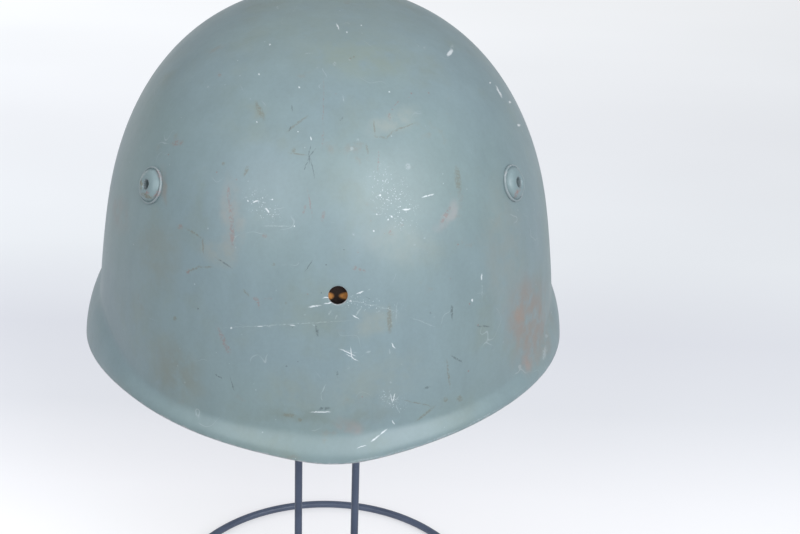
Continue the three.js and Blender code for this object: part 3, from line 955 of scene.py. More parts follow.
@dataclass(frozen=True)
class HelmetForm:
    """The helmet's outer form, with its sizes in millimetres."""

    half_width: float = 108.8
    front_reach: float = 112.0
    rear_reach: float = 138.0
    shoulder: float = 18.2
    rise: float = 145.0
    fullness: float = 2.5
    lean_top: float = 70.0
    lean_ease: float = 30.0
    lean: float = math.radians(4.0)
    wall: float = 1.3
    # The rim's height at some directions, in degrees from the front.
    rim: tuple[tuple[float, float], ...] = ((0.0, 4.2), (50.0, 7.2), (95.0, 0.0), (180.0, -2.0))
    point_dip: float = 2.6
    point_dip_spread: float = 12.0
    point_reach: float = 1.6
    point_reach_spread: float = 20.0
    bend_angle: float = 40.0
    bend_lift: float = 1.8
    bend_spread: float = 24.0
    visor_reach: float = 3.6
    visor_height: float = 10.5
    point_height: float = 4.5
    # The shares of the visor's height between which it turns out.
    visor_turn: tuple[float, float] = (0.1, 0.85)
    visor_drop: float = 2.2
    visor_drop_growth: float = 0.011
    flare_reach: float = 5.2
    flare_height: float = 23.0
    flare_left_bias: float = 0.22
    flare_quickness: float = 2.4
    flare_ease: float = 0.3
    flare_from: float = 46.0
    flare_to: float = 84.0
    turn: float = math.radians(5.1)
    shift: tuple[float, float] = (-1.3, 0.4)
    raised: float = 180.0

    @property
    def top(self) -> float:
        """The height of the crown over the side rim."""
        return self.shoulder + self.rise

    @staticmethod
    def angle(direction: Array) -> Array:
        """A direction in degrees, from -180 to 180."""
        return np.degrees((direction + math.pi) % (2 * math.pi) - math.pi)

    def rim_height(self, direction: Array) -> Array:
        """The height of the rim in a direction.

        Args:
            direction: The directions, in radians.

        Returns:
            The heights.
        """
        angle = self.angle(direction)
        side = np.abs(angle)
        height = np.full_like(angle, self.rim[0][1])
        for (start, low), (end, high) in zip(self.rim, self.rim[1:]):
            height = height + (high - low) * smooth(side, start, end)
        front = 1.0 - smooth(side, self.flare_from, self.flare_to)
        drop = front * self.visor_drop * (1.0 + self.visor_drop_growth * side)
        dip = self.point_dip * bell(angle, 0.0, self.point_dip_spread)
        return height - drop - dip + self.bend_lift * bell(angle, self.bend_angle, self.bend_spread)

    def crown_radius(self, direction: Array, height: Array) -> Array:
        """The plan radius of the crown, before the wall leans out.

        Args:
            direction: The directions, in radians.
            height: The heights over the side rim, in millimetres.

        Returns:
            The radii, in millimetres.
        """
        reach = np.where(np.cos(direction) > 0, self.front_reach, self.rear_reach)
        plan = 1.0 / np.hypot(np.sin(direction) / self.half_width, np.cos(direction) / reach)
        up = np.clip((height - self.shoulder) / self.rise, 0.0, 1.0)
        return plan * (1.0 - up**self.fullness) ** (1.0 / self.fullness)

    def lean_out(self, height: Array) -> Array:
        """How far the wall leans out at a height.

        Args:
            height: The heights over the side rim, in millimetres.

        Returns:
            The distances, in millimetres.
        """
        below = (self.lean_top - height) / self.lean_ease
        steps = np.where(below <= 0, 0.0, np.where(below < 1, below**2 / 2, below - 0.5))
        return math.tan(self.lean) * self.lean_ease * steps

    def flare_out(self, direction: Array, height: Array) -> Array:
        """How far the visor or the flare stands out from the wall at a height.

        Args:
            direction: The directions, in radians.
            height: The heights over the side rim, in millimetres.

        Returns:
            The distances, in millimetres.
        """
        angle = self.angle(direction)
        side = smooth(np.abs(angle), self.flare_from, self.flare_to)
        front_band = self.visor_height + self.point_height * bell(angle, 0.0, self.point_reach_spread)
        band = front_band + (self.flare_height - front_band) * side
        down = np.clip((self.rim_height(direction) + band - height) / band, 0.0, 1.0)
        visor = self.visor_reach + self.point_reach * bell(angle, 0.0, self.point_reach_spread)
        visor = visor * smooth(down, *self.visor_turn)
        flare = self.flare_reach * (1.0 - self.flare_left_bias * np.sin(direction))
        eased = down * smooth(down, -self.flare_ease, self.flare_ease)
        return visor + (flare * (1.0 - (1.0 - eased) ** self.flare_quickness) - visor) * side

    def outer(self, direction: Array, height: Array) -> Array:
        """The point on the outside in a direction, at a height.

        Args:
            direction: The directions, in radians.
            height: The heights over the side rim, in millimetres.

        Returns:
            The points, in millimetres.
        """
        radius = self.crown_radius(direction, height) + self.lean_out(height)
        radius = radius + self.flare_out(direction, height)
        height = np.broadcast_to(height, radius.shape)
        return np.stack([np.sin(direction) * radius, -np.cos(direction) * radius, height], axis=-1)

    def slopes(self, direction: Array, height: Array) -> tuple[Array, Array]:
        """The way down along the outside, and the way out of it, as unit vectors.

        Args:
            direction: The directions, in radians.
            height: The heights over the side rim, in millimetres.

        Returns:
            The two ways.
        """
        step = 0.01
        height = np.minimum(height, self.top - 2 * step)
        here = self.outer(direction, height)
        down = unit(self.outer(direction, height - step) - here)
        along = self.outer(direction + step, height) - self.outer(direction - step, height)
        return down, -unit(np.cross(along, down))

    def under(self, direction: Array, height: Array, depth: Array | float) -> Array:
        """The point at a depth under the outside, square to it.

        Args:
            direction: The directions, in radians.
            height: The heights over the side rim, in millimetres.
            depth: The depths, in millimetres.

        Returns:
            The points, in millimetres.
        """
        direction, height, depth = np.broadcast_arrays(direction, height, depth)
        out = self.slopes(direction, height)[1]
        point = self.outer(direction, height) - out * depth[..., None]
        apex = np.stack([0 * depth, 0 * depth, self.top - depth], axis=-1)
        return np.where((self.top - height < 0.01)[..., None], apex, point)

    def place(self, points: Array) -> Array:
        """Helmet places in millimetres as places in metres in the frame."""
        turned = points @ np.array(Matrix.Rotation(self.turn, 3, "Z")).T
        return (turned + np.array([*self.shift, self.raised])) * MM

    def crown_heights(self, lowest: float, rows: int) -> Array:
        """Heights from the top down to one height, closer together where the form turns quickly.

        Args:
            lowest: The lowest height.
            rows: How many rows there are.

        Returns:
            The heights.
        """
        last = math.acos(((lowest - self.shoulder) / self.rise) ** (self.fullness / 2))
        turns = np.linspace(0.0, last, rows + 1)
        return self.shoulder + self.rise * np.cos(turns) ** (2 / self.fullness)


FORM = HelmetForm()


@dataclass(frozen=True)
class Hole:
    """A round hole, by the direction, the height and the radius of its middle."""

    direction: float
    height: float
    radius: float
    rounding: float = 0.25

    def scales(self) -> tuple[float, float]:
        """Radians of direction, and millimetres of height, for a millimetre of surface at the hole.

        Returns:
            The two scales.
        """
        down = FORM.slopes(np.array(self.direction), np.array(self.height))[0]
        radius = np.hypot(*FORM.outer(np.array(self.direction), np.array(self.height))[:2])
        return 1.0 / float(radius), float(-down[2])

    @property
    def mouth(self) -> float:
        """The radius where the hole's rounded edge meets the surface."""
        return self.radius + self.rounding

    def zone(self) -> tuple[float, float]:
        """Half the size of the square of grid cells that the hole takes, in radians and in height."""
        around, up = self.scales()
        return self.mouth * around, self.mouth * up

    def circle(self, turns: Array, radius: float) -> tuple[Array, Array]:
        """Directions and heights on a circle round the hole's middle."""
        around, up = self.scales()
        return self.direction + np.cos(turns) * radius * around, self.height - np.sin(turns) * radius * up


FRONT_HOLE = Hole(0.0, 79.0, 4.25)
VENT_ANGLE = math.radians(57.6)
VENT_HEIGHT = 104.5
VENT_DIRECTIONS = {"left": -VENT_ANGLE, "right": VENT_ANGLE, "rear": math.pi}
VENTS = tuple(Hole(direction, VENT_HEIGHT, 4.0) for direction in VENT_DIRECTIONS.values())


@dataclass(frozen=True)
class PunchedGrid:
    """A grid of directions and heights whose lines bend round holes, so that each hole is a true circle."""

    holes: tuple[Hole, ...]
    seam: float = math.radians(-150.0)
    inner: int = 5
    outer: int = 10

    def lines(self, base: Array, spots: Iterable[tuple[float, float]]) -> Array:
        """Base lines with finer ones round some spots.

        Args:
            base: The lines' places, in rising order.
            spots: The middle of each spot and half the size of its hole.

        Returns:
            All the places, in rising order.
        """
        kept, step = base, float(np.median(np.diff(base)))
        for middle, half in spots:
            reach = half * self.outer / self.inner
            kept = kept[np.abs(kept - middle) > reach + 0.35 * step]
            kept = np.append(kept, middle + np.linspace(-reach, reach, 2 * self.outer + 1))
        return np.unique(np.round(kept, 9))

    def directions(self, step: float) -> Array:
        """The grid's directions, once round from the seam to the seam.

        Args:
            step: The usual step between them, in radians.

        Returns:
            The directions.
        """
        turns = round(2 * math.pi / step)
        base = self.seam + np.linspace(0.0, 2 * math.pi, turns + 1)
        return self.lines(base, [(hole.direction, hole.zone()[0]) for hole in self.holes])

    def heights(self, base: Array) -> Array:
        """The grid's heights, from the top down. Holes at one height share their lines."""
        spots = {hole.height: hole.zone()[1] for hole in self.holes}
        return self.lines(base, spots.items())[::-1]

    def bend(self, directions: Array, heights: Array) -> tuple[Array, Array]:
        """Bends the grid's lines round the holes.

        Args:
            directions: The direction of each point, by row and column.
            heights: The height of each point.

        Returns:
            The bent directions and heights, and whether each cell is solid.
        """
        bent_directions, bent_heights = directions.copy(), heights.copy()
        solid = np.ones((directions.shape[0] - 1, directions.shape[1] - 1), bool)
        for hole in self.holes:
            row, column = self._middle(directions, heights, hole)
            for i, j in self._square_rings():
                ring = max(abs(i), abs(j))
                fade = 1.0 - float(smooth(np.array((ring - self.inner) / (self.outer - self.inner))))
                at = (row + i, column + j)
                circle = hole.circle(np.array(self._turn(i, j)), hole.mouth * ring / self.inner)
                bent_directions[at] += (circle[0] - directions[at]) * fade
                bent_heights[at] += (circle[1] - heights[at]) * fade
            solid[row - self.inner : row + self.inner, column - self.inner : column + self.inner] = False
        return bent_directions, bent_heights, solid

    @staticmethod
    def _middle(directions: Array, heights: Array, hole: Hole) -> tuple[int, int]:
        """The row and column of the grid point in the middle of a hole."""
        column = int(np.argmin(np.abs(directions[0] - hole.direction)))
        return int(np.argmin(np.abs(heights[:, column] - hole.height))), column

    def _square_rings(self) -> Iterable[tuple[int, int]]:
        """The rows and columns round a hole whose points move, counted from its middle."""
        reach = range(-self.outer, self.outer + 1)
        return ((i, j) for i in reach for j in reach if self.inner <= max(abs(i), abs(j)) < self.outer)

    @staticmethod
    def _turn(row: int, column: int) -> float:
        """The direction on the circle for a point on a square ring, evenly spread along each side.

        Args:
            row: The row, counted from the hole's middle.
            column: The column.

        Returns:
            The turn, in radians.
        """
        quarter = math.pi / 4
        if abs(row) <= abs(column):
            return quarter * row / column + (0.0 if column > 0 else math.pi)
        return 2 * quarter * (1 if row > 0 else -1) - quarter * column / row

    def edge(self, directions: Array, heights: Array, hole: Hole) -> tuple[Array, Array, Array]:
        """The grid points on the edge of a hole, in order and closed.

        Args:
            directions: The unbent direction of each point, by row and column.
            heights: The unbent heights.
            hole: The hole.

        Returns:
            Their rows and columns, and their turns round the hole's middle.
        """
        row, column = self._middle(directions, heights, hole)
        square = [(i, j) for i, j in self._square_rings() if max(abs(i), abs(j)) == self.inner]
        square.sort(key=lambda at: self._turn(*at) % (2 * math.pi))
        square.append(square[0])
        rows, columns = np.array(square).T
        return rows + row, columns + column, np.array([self._turn(*at) for at in square])


# Steps round the half circle at a wall's end; the wear's reach from the rim, in millimetres; and how far a
# hole's first and last rings stand in from its rounded edge, as a share of the rounding.
ROUND_STEPS = 6
EDGE_FADE = 1.3
HOLE_EASE = 0.3


@dataclass(frozen=True)
class Wall:
    """A wall of even thickness under the helmet's outer form, with holes through it."""

    grid: PunchedGrid
    thickness: float
    depth: Callable[[Array], Array]

    def add(self, draft: Draft, directions: Array, heights: Array) -> tuple[Array, Array]:
        """Adds the wall's two faces and its holes, without its rims.

        Args:
            draft: The mesh that takes them.
            directions: The direction of each point, by row and column.
            heights: The height of each point.

        Returns:
            The numbers of the outer and the inner points, by row and column.
        """
        bent_directions, bent_heights, solid = self.grid.bend(directions, heights)
        near = self._near_rim(bent_directions, bent_heights)
        outer = draft.add(self._place(bent_directions, bent_heights, 0.0), edge=near)
        inner = draft.add(self._place(bent_directions, bent_heights, self.thickness), edge=near, inside=1.0)
        draft.grid(outer, solid)
        draft.grid(inner, solid)
        for hole in self.grid.holes:
            rows, columns, turns = self.grid.edge(directions, heights, hole)
            rings = [self._hole_ring(draft, hole, turns, step) for step in range(4)]
            draft.grid(np.stack([outer[rows, columns], *rings, inner[rows, columns]]))
        return outer, inner

    def _near_rim(self, directions: Array, heights: Array) -> Array:
        """How near points are to the helmet's rim: 1 on it."""
        return np.exp(-np.maximum(heights - FORM.rim_height(directions), 0.0) / EDGE_FADE)

    def _hole_ring(self, draft: Draft, hole: Hole, turns: Array, step: int) -> Array:
        """Adds one of the four rings of points down a hole, the first and last on its rounded edges.

        Args:
            draft: The mesh that takes them.
            hole: The hole.
            turns: The points' turns round its middle.
            step: The ring's number, from the outer face.

        Returns:
            The points' numbers.
        """
        ease = hole.rounding
        short = HOLE_EASE * ease
        radius = hole.radius + (short if step in (0, 3) else 0.0)
        down = (short, ease, self.thickness - ease, self.thickness - short)[step]
        points = self._place(*hole.circle(turns, radius), down)
        return draft.add(points, edge=1.0, inside=step / 3)

    def _place(self, directions: Array, heights: Array, down: float) -> Array:
        """Points at a depth in the wall, in metres."""
        return FORM.place(FORM.under(directions, heights, self.depth(heights) + down))

    def round_end(
        self, draft: Draft, directions: Array, heights: Array, down: bool, **values: float
    ) -> list[Array]:
        """Adds half-round rows past one end of the wall.

        Args:
            draft: The mesh that takes them.
            directions: The directions along the end.
            heights: The heights along the end.
            down: Whether it is the lower end.
            values: The values of its points.

        Returns:
            The numbers of the points in each row, from the outer face to the inner.
        """
        half = self.thickness / 2
        along, out = FORM.slopes(directions, heights)
        centre = FORM.under(directions, heights, self.depth(heights) + half)
        past = along if down else -along
        turns = np.linspace(0.0, math.pi, ROUND_STEPS + 1)[1:-1]
        rows = (centre + (out * math.cos(t) + past * math.sin(t)) * half for t in turns)
        return [draft.add(FORM.place(row), **values) for row in rows]


def grid_of(directions: Array, rows: Array) -> tuple[Array, Array]:
    """Directions and heights by row and column, from one row of directions and heights for each row."""
    heights = np.broadcast_to(rows, (len(rows), len(directions))).copy()
    return np.broadcast_to(directions, heights.shape).copy(), heights


@dataclass(frozen=True)
class Shell:
    """The pressed-steel shell: crown, visor, flared sides and neck, with one rolled-smooth rim."""

    paint: WornPaint
    columns: int = 240
    crown_base: float = 45.0
    crown_rows: int = 84
    lower_rows: int = 36
    crowding: float = 1.25
    lip: float = 0.6

    def build(self) -> None:
        """Makes the shell."""
        grid = PunchedGrid((FRONT_HOLE, *VENTS))
        wall = Wall(grid, FORM.wall, lambda heights: 0.0 * heights)
        directions = grid.directions(2 * math.pi / self.columns)
        crown = grid.heights(FORM.crown_heights(self.crown_base, self.crown_rows)[::-1])
        shares = 1.0 - (1.0 - np.linspace(0.0, 1.0, self.lower_rows + 1)[1:]) ** self.crowding
        foot = FORM.rim_height(directions) + self.lip
        lower = self.crown_base + (foot - self.crown_base) * shares[:, None]
        crown_rows = np.broadcast_to(crown[:, None], (len(crown), len(directions)))
        heights = np.concatenate([crown_rows, lower])
        draft = Draft("edge", "inside")
        outer, inner = wall.add(draft, *grid_of(directions, heights))
        rim = wall.round_end(draft, directions, foot, True, edge=1.0)
        draft.grid(np.stack([outer[-1], *rim, inner[-1]]))
        piece = draft.build("helmet_shell", self.paint.build())
        mark_picture(piece)
        settle(piece, "steel_paint", "shell")


@dataclass(frozen=True)
class VentRivet:
    """A hollow rivet: a flat lip, a groove, a domed bore, and a flange behind the lining."""

    name: str
    hole: Hole
    segments: int = 72
    # Radius and height along the rivet's axis, from the far end of the bore round to its mouth.
    profile: tuple[tuple[float, float], ...] = (
        (2.2, -6.2), (6.2, -6.2), (6.5, -6.05), (6.5, -5.45), (6.3, -5.3), (3.6, -5.3), (3.6, -0.8),
        (8.45, -0.6), (8.5, 0.2), (8.47, 0.5), (8.38, 0.75), (8.22, 0.9), (8.03, 0.93), (7.86, 0.85),
        (7.72, 0.68), (7.6, 0.5), (7.48, 0.45), (7.36, 0.55), (7.25, 0.85), (7.08, 1.3), (6.8, 1.8),
        (6.4, 2.25), (5.9, 2.62), (5.3, 2.93), (4.65, 3.16), (4.0, 3.32), (3.4, 3.4), (2.95, 3.36),
        (2.6, 3.2), (2.35, 2.9), (2.22, 2.5), (2.2, -6.2),
    )
    bore: float = 2.5
    lip: tuple[float, float] = (7.8, 8.6)
    lip_from: float = -0.2
    mouth_from: float = 2.0
    mouth_to: float = 2.3
    behind: float = -1.0
    lip_wear: float = 0.8
    mouth_wear: float = 0.75

    def build(self, material: bpy.types.Material) -> None:
        """Makes the rivet.

        Args:
            material: The finish.
        """
        direction, height = np.array(self.hole.direction), np.array(self.hole.height)
        out = FORM.slopes(direction, height)[1]
        side = unit(np.cross(out, (0.0, 0.0, 1.0)))
        up = np.cross(side, out)
        radius, along = np.array(self.profile).T[:, :, None]
        turns = np.linspace(0.0, 2 * math.pi, self.segments + 1)[None, :, None]
        radius, along = radius[..., None], along[..., None]
        ring = side * np.cos(turns) + up * np.sin(turns)
        points = FORM.outer(direction, height) + ring * radius + out * along
        low, high = self.lip
        on_lip = ((radius > low) & (radius < high) & (along > self.lip_from)) * 1.0
        on_mouth = ((radius < self.bore) & (along > self.mouth_from)) * self.mouth_wear
        hidden = (along < self.mouth_to) & (radius <= self.bore) | (along < self.behind)
        draft = Draft("edge", "inside")
        shape = points.shape[:-1]
        edge = np.broadcast_to((on_lip * self.lip_wear + on_mouth)[..., 0], shape)
        inside = np.broadcast_to(hidden[..., 0] * 1.0, shape)
        draft.grid(draft.add(FORM.place(points), edge=edge, inside=inside))
        piece = draft.build(f"hollow_rivet_{self.name}", material)
        mark_picture(piece)
        settle(piece, "rivet_paint", f"vent_rivet_{self.name}")


@dataclass(frozen=True)
class Stitching:
    """Stitches along paths, laid by a node tree that can be given any path."""

    thread: bpy.types.Material
    length: float = 3.4
    pitch: float = 4.6
    radius: float = 0.38

    def build(self, name: str, paths: Sequence[Array]) -> None:
        """Makes one piece of stitches.

        Args:
            name: The piece's name.
            paths: Closed loops of places in metres.
        """
        graph, given = growing_tree("stitches", "Pitch", "Length", "Radius")
        curve = graph.node("GeometryNodeMeshToCurve", None, {"Mesh": given["Geometry"]})
        pitch = {"Curve": curve, "Length": given["Pitch"]}
        spaced = graph.node("GeometryNodeResampleCurve", {"mode": "LENGTH"}, pitch)
        stitch = graph.node("GeometryNodeMeshUVSphere", None, {"Segments": 8, "Rings": 7, "Radius": 1.0})
        half = given["Length"] * 0.5
        size = graph.node("ShaderNodeCombineXYZ", None, {0: given["Radius"], 1: given["Radius"], 2: half})
        shaped = graph.node("GeometryNodeTransform", None, {"Geometry": stitch, "Scale": size})
        tangent = graph.node("GeometryNodeInputTangent")
        turned = graph.node("FunctionNodeAlignRotationToVector", {"axis": "Z"}, {"Vector": tangent})
        laid = {"Points": spaced, "Instance": shaped, "Rotation": turned}
        instances = graph.node("GeometryNodeInstanceOnPoints", None, laid)
        finish_nodes(graph, instances, given["Material"])
        sizes = {"Pitch": self.pitch, "Length": self.length, "Radius": self.radius}
        settle(grown(name, paths, graph.tree, sizes, self.thread), None)


def growing_tree(name: str, *sizes: str) -> tuple[Graph, dict[str, Socket]]:
    """A geometry tree with named inputs, ready for its nodes.

    Args:
        name: The tree's name.
        sizes: The names of its sizes, which stand between its paths and its finish.

    Returns:
        The graph that fills the tree, and the tree's inputs by name.
    """
    tree = bpy.data.node_groups.new(name, "GeometryNodeTree")
    kinds = {"Geometry": "Geometry"} | dict.fromkeys(sizes, "Float") | {"Material": "Material"}
    for label, kind in kinds.items():
        tree.interface.new_socket(label, in_out="INPUT", socket_type=f"NodeSocket{kind}")
    tree.interface.new_socket("Geometry", in_out="OUTPUT", socket_type="NodeSocketGeometry")
    graph = Graph(tree)
    source = tree.nodes.new("NodeGroupInput")
    return graph, {socket.name: Socket(graph, socket) for socket in source.outputs if socket.name}


def finish_nodes(graph: Graph, geometry: Socket, material: Socket) -> None:
    """Ends a geometry tree: real meshes, smooth, with their finish.

    Args:
        graph: The tree's graph.
        geometry: What it has made.
        material: The input that holds the finish.
    """
    real = graph.node("GeometryNodeRealizeInstances", None, {"Geometry": geometry})
    rounded = graph.node("GeometryNodeSetShadeSmooth", None, {"Geometry": real})
    painted = graph.node("GeometryNodeSetMaterial", None, {"Geometry": rounded, "Material": material})
    graph.node("NodeGroupOutput", None, {"Geometry": painted})


def grown(
    name: str,
    paths: Sequence[Array],
    tree: bpy.types.NodeTree,
    sizes: dict[str, float],
    finish: bpy.types.Material,
) -> bpy.types.Object:
    """Runs a node tree over paths and keeps the result as a plain mesh.

    Args:
        name: The piece's name.
        paths: Rows of places in metres. A row whose last place is its first is a closed loop.
        tree: The node tree.
        sizes: The tree's sizes in millimetres, by name.
        finish: The piece's finish.

    Returns:
        The finished piece.
    """
    seed = bpy.data.meshes.new(f"{name}_paths")
    points, edges = [], []
    for path in paths:
        closed = bool(np.allclose(path[0], path[-1], atol=WELD))
        body = path[:-1] if closed else path
        first, count = len(points), len(body)
        points.extend(map(tuple, body))
        edges.extend((first + i, first + i + 1) for i in range(count - 1))
        if closed:
            edges.append((first + count - 1, first))
    seed.from_pydata(points, edges, [])
    holder = bpy.data.objects.new(f"{name}_paths", seed)
    bpy.context.scene.collection.objects.link(holder)
    modifier = holder.modifiers.new("grow", "NODES")
    modifier.node_group = tree
    values = {label: size * MM for label, size in sizes.items()} | {"Material": finish}
    for item in tree.interface.items_tree:
        if item.item_type == "SOCKET" and item.in_out == "INPUT" and item.name in values:
            modifier[item.identifier] = values[item.name]
    bpy.context.view_layer.update()
    evaluated = holder.evaluated_get(bpy.context.evaluated_depsgraph_get())
    mesh = bpy.data.meshes.new_from_object(evaluated)
    mesh.name = name
    holder.modifiers.clear()
    bpy.data.objects.remove(holder)
    return place_object(mesh, finish)


# The lining's sizes: its leather, the band's place under the shell and its edges, and the tongues' drop.
LEATHER_THICKNESS = 2.0
BAND_GAP = 0.8
BAND_HANG = 12.5
BAND_HANG_FROM = 98.0
BAND_TOP = 113.0
BAND_BOTTOM = 40.0
LEATHER_CLEARANCE = 0.3
CROWN_DROP = 24.0
SEAM_HEIGHTS = (44.0, 49.0)


def band_depth(heights: Array) -> Array:
    """The depth of the head band's outer face under the shell's: close at the rivets, clear lower down."""
    return FORM.wall + BAND_GAP + BAND_HANG * (1.0 - smooth(heights, BAND_BOTTOM, BAND_HANG_FROM))


def crown_depth(heights: Array) -> Array:
    """The depth of the tongues' outer face: on the band at its foot, then clear of it and of the shell."""
    sewn = float(band_depth(np.array(BAND_BOTTOM))) + LEATHER_THICKNESS + LEATHER_CLEARANCE
    return sewn + (CROWN_DROP - sewn) * smooth(heights, BAND_BOTTOM, FORM.top)


@dataclass(frozen=True)
class HeadBand:
    """The outer leather of the lining, which hangs from the rivets."""

    columns: int = 200
    rows: int = 36

    def build(self, material: bpy.types.Material) -> None:
        """Makes the band.

        Args:
            material: The finish.
        """
        grid = PunchedGrid(VENTS)
        wall = Wall(grid, LEATHER_THICKNESS, band_depth)
        directions = grid.directions(2 * math.pi / self.columns)
        half = LEATHER_THICKNESS / 2
        rows = grid.heights(np.linspace(BAND_BOTTOM + half, BAND_TOP - half, self.rows + 1))
        draft = Draft("edge", "inside")
        where = grid_of(directions, rows[:, None])
        outer, inner = wall.add(draft, *where)
        for end, down in ((0, False), (-1, True)):
            rim = wall.round_end(draft, directions, where[1][end], down, edge=1.0)
            draft.grid(np.stack([outer[end], *rim, inner[end]]))
        settle(draft.build("lining_band", material), "leather", "liner_band")


@dataclass(frozen=True)
class Tongues:
    """The inner leather of the lining: a ring at the band's foot that rises into tongues round an opening."""

    count: int = 8
    opening: float = 20.0
    joined_within: float = 28.0
    gap_wide_at: float = 70.0
    half_gap: float = 4.0
    gap_from: float = 72.0
    columns: int = 24
    rows: int = 84
    fine_rows: int = 300

    def build(self, material: bpy.types.Material) -> None:
        """Makes the tongues.

        Args:
            material: The finish.
        """
        wall = Wall(PunchedGrid(()), LEATHER_THICKNESS, crown_depth)
        draft = Draft("edge", "inside")
        step = 2 * math.pi / self.count
        for i in range(self.count):
            middle = i * step
            turns = self._heights(middle + np.linspace(-step / 2, step / 2, self.columns + 1))
            slots = [
                self._slot(middle + side * step / 2, turns[:, column]) for side, column in ((-1, 0), (1, -1))
            ]
            starts, ends = middle - step / 2 + slots[0], middle + step / 2 - slots[1]
            share = np.linspace(0.0, 1.0, self.columns + 1)
            directions = starts[:, None] + (ends - starts)[:, None] * share
            outer, inner = wall.add(draft, directions, turns)
            for end, down in ((0, False), (-1, True)):
                rim = wall.round_end(draft, directions[end], turns[end], down, edge=1.0)
                draft.grid(np.stack([outer[end], *rim, inner[end]]))
            for side, slot in zip((0, -1), slots):
                open_rows = (slot[:-1] > 0) | (slot[1:] > 0)
                draft.grid(np.stack([outer[:, side], inner[:, side]], axis=1), open_rows[:, None])
        settle(draft.build("lining_tongues", material), "leather", "liner_crown")

    def _heights(self, directions: Array) -> Array:
        """Heights by row and column, from the opening's edge down to the leather's foot.

        Args:
            directions: The directions, in radians.

        Returns:
            The heights.
        """
        last = BAND_BOTTOM + LEATHER_THICKNESS / 2
        table = FORM.crown_heights(last, self.fine_rows)
        where = grid_of(directions, table[:, None])
        points = FORM.under(*where, crown_depth(where[1]) + LEATHER_THICKNESS / 2)
        radius = np.hypot(points[..., 0], points[..., 1])
        steps = np.arange(len(table))
        first = np.array([np.interp(self.opening, column, steps) for column in radius.T])
        shares = np.linspace(0.0, 1.0, self.rows + 1)[:, None]
        return np.interp(first + (steps[-1] - first) * shares, steps, table)

    def _slot(self, direction: float, heights: Array) -> Array:
        """Half the width of the gap beside a tongue, as an angle, at each height.

        Args:
            direction: The direction of the gap's middle.
            heights: The heights over the side rim, in millimetres.

        Returns:
            The angles, in radians.
        """
        points = FORM.under(np.full_like(heights, direction), heights, crown_depth(heights))
        radius = np.hypot(points[:, 0], points[:, 1])
        grown_by = (radius - self.joined_within) / (self.gap_wide_at - self.joined_within)
        wide = self.half_gap * np.clip(grown_by, 0.0, 1.0)
        above = np.clip((heights - self.gap_from) / self.half_gap, 0.0, 1.0)
        rounded = np.sqrt(np.clip(1.0 - (1.0 - above) ** 2, 0.0, 1.0))
        return np.arcsin(wide * rounded / radius)


@dataclass(frozen=True)
class WireStand:
    """The stand: a wire ring on the floor, two uprights and a smaller ring under the lining."""

    wire: float = 4.0
    base_radius: float = 84.5
    top_radius: float = 45.0
    spacing: float = 30.0
    ring_steps: int = 120
    bar_steps: int = 24
    sides: int = 20

    def build(self, paint: WirePaint) -> None:
        """Makes the stand.

        Args:
            paint: Its paint.
        """
        half = self.wire / 2
        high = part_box("wire_stand")[1].z / MM - half
        side = self.spacing / 2
        paths = [
            self._ring(self.base_radius, half), self._ring(self.top_radius, high),
            self._bar((-self.base_radius, 0.0, half), (self.base_radius, 0.0, half)),
            self._bar((-self.top_radius, 0.0, high), (self.top_radius, 0.0, high)),
            *(self._bar((x, 0.0, half), (x, 0.0, high)) for x in (-side, side)),
        ]
        graph, given = growing_tree("wire", "Radius")
        curve = graph.node("GeometryNodeMeshToCurve", None, {"Mesh": given["Geometry"]})
        circle = {"Resolution": self.sides, "Radius": given["Radius"]}
        section = graph.node("GeometryNodeCurvePrimitiveCircle", None, circle)
        drawn = {"Curve": curve, "Profile Curve": section, "Fill Caps": True}
        finish_nodes(graph, graph.node("GeometryNodeCurveToMesh", None, drawn), given["Material"])
        piece = grown("stand_wire", paths, graph.tree, {"Radius": half}, paint.build())
        settle(piece, "wire_paint", "wire_stand")

    def _ring(self, radius: float, height: float) -> Array:
        """A closed ring of places, in metres."""
        turns = np.linspace(0.0, 2 * math.pi, self.ring_steps + 1)
        return np.stack([np.cos(turns) * radius, np.sin(turns) * radius, 0 * turns + height], axis=-1) * MM

    def _bar(self, start: tuple[float, float, float], end: tuple[float, float, float]) -> Array:
        """A straight row of places, in metres."""
        return np.linspace(start, end, self.bar_steps + 1) * MM


@dataclass(frozen=True)
class Lamp:
    """A soft square lamp. Its angles are in degrees, from the front to the right and upwards."""

    name: str
    azimuth: float
    elevation: float
    size: float
    power: float
    distance: float = 1.5

    def build(self, target: Sequence[float], colour: Colour) -> None:
        """Makes the lamp.

        Args:
            target: The place that it looks at, in metres.
            colour: Its colour.
        """
        data = bpy.data.lights.new(self.name, "AREA")
        data.shape, data.size, data.energy, data.color = "SQUARE", self.size, self.power, colour
        lamp = bpy.data.objects.new(self.name, data)
        turn, rise = math.radians(self.azimuth), math.radians(self.elevation)
        way = Vector((math.sin(turn) * math.cos(rise), -math.cos(turn) * math.cos(rise), math.sin(rise)))
        lamp.location = Vector(target) + way * self.distance
        lamp.rotation_euler = way.to_track_quat("Z", "Y").to_euler()
        bpy.context.scene.collection.objects.link(lamp)


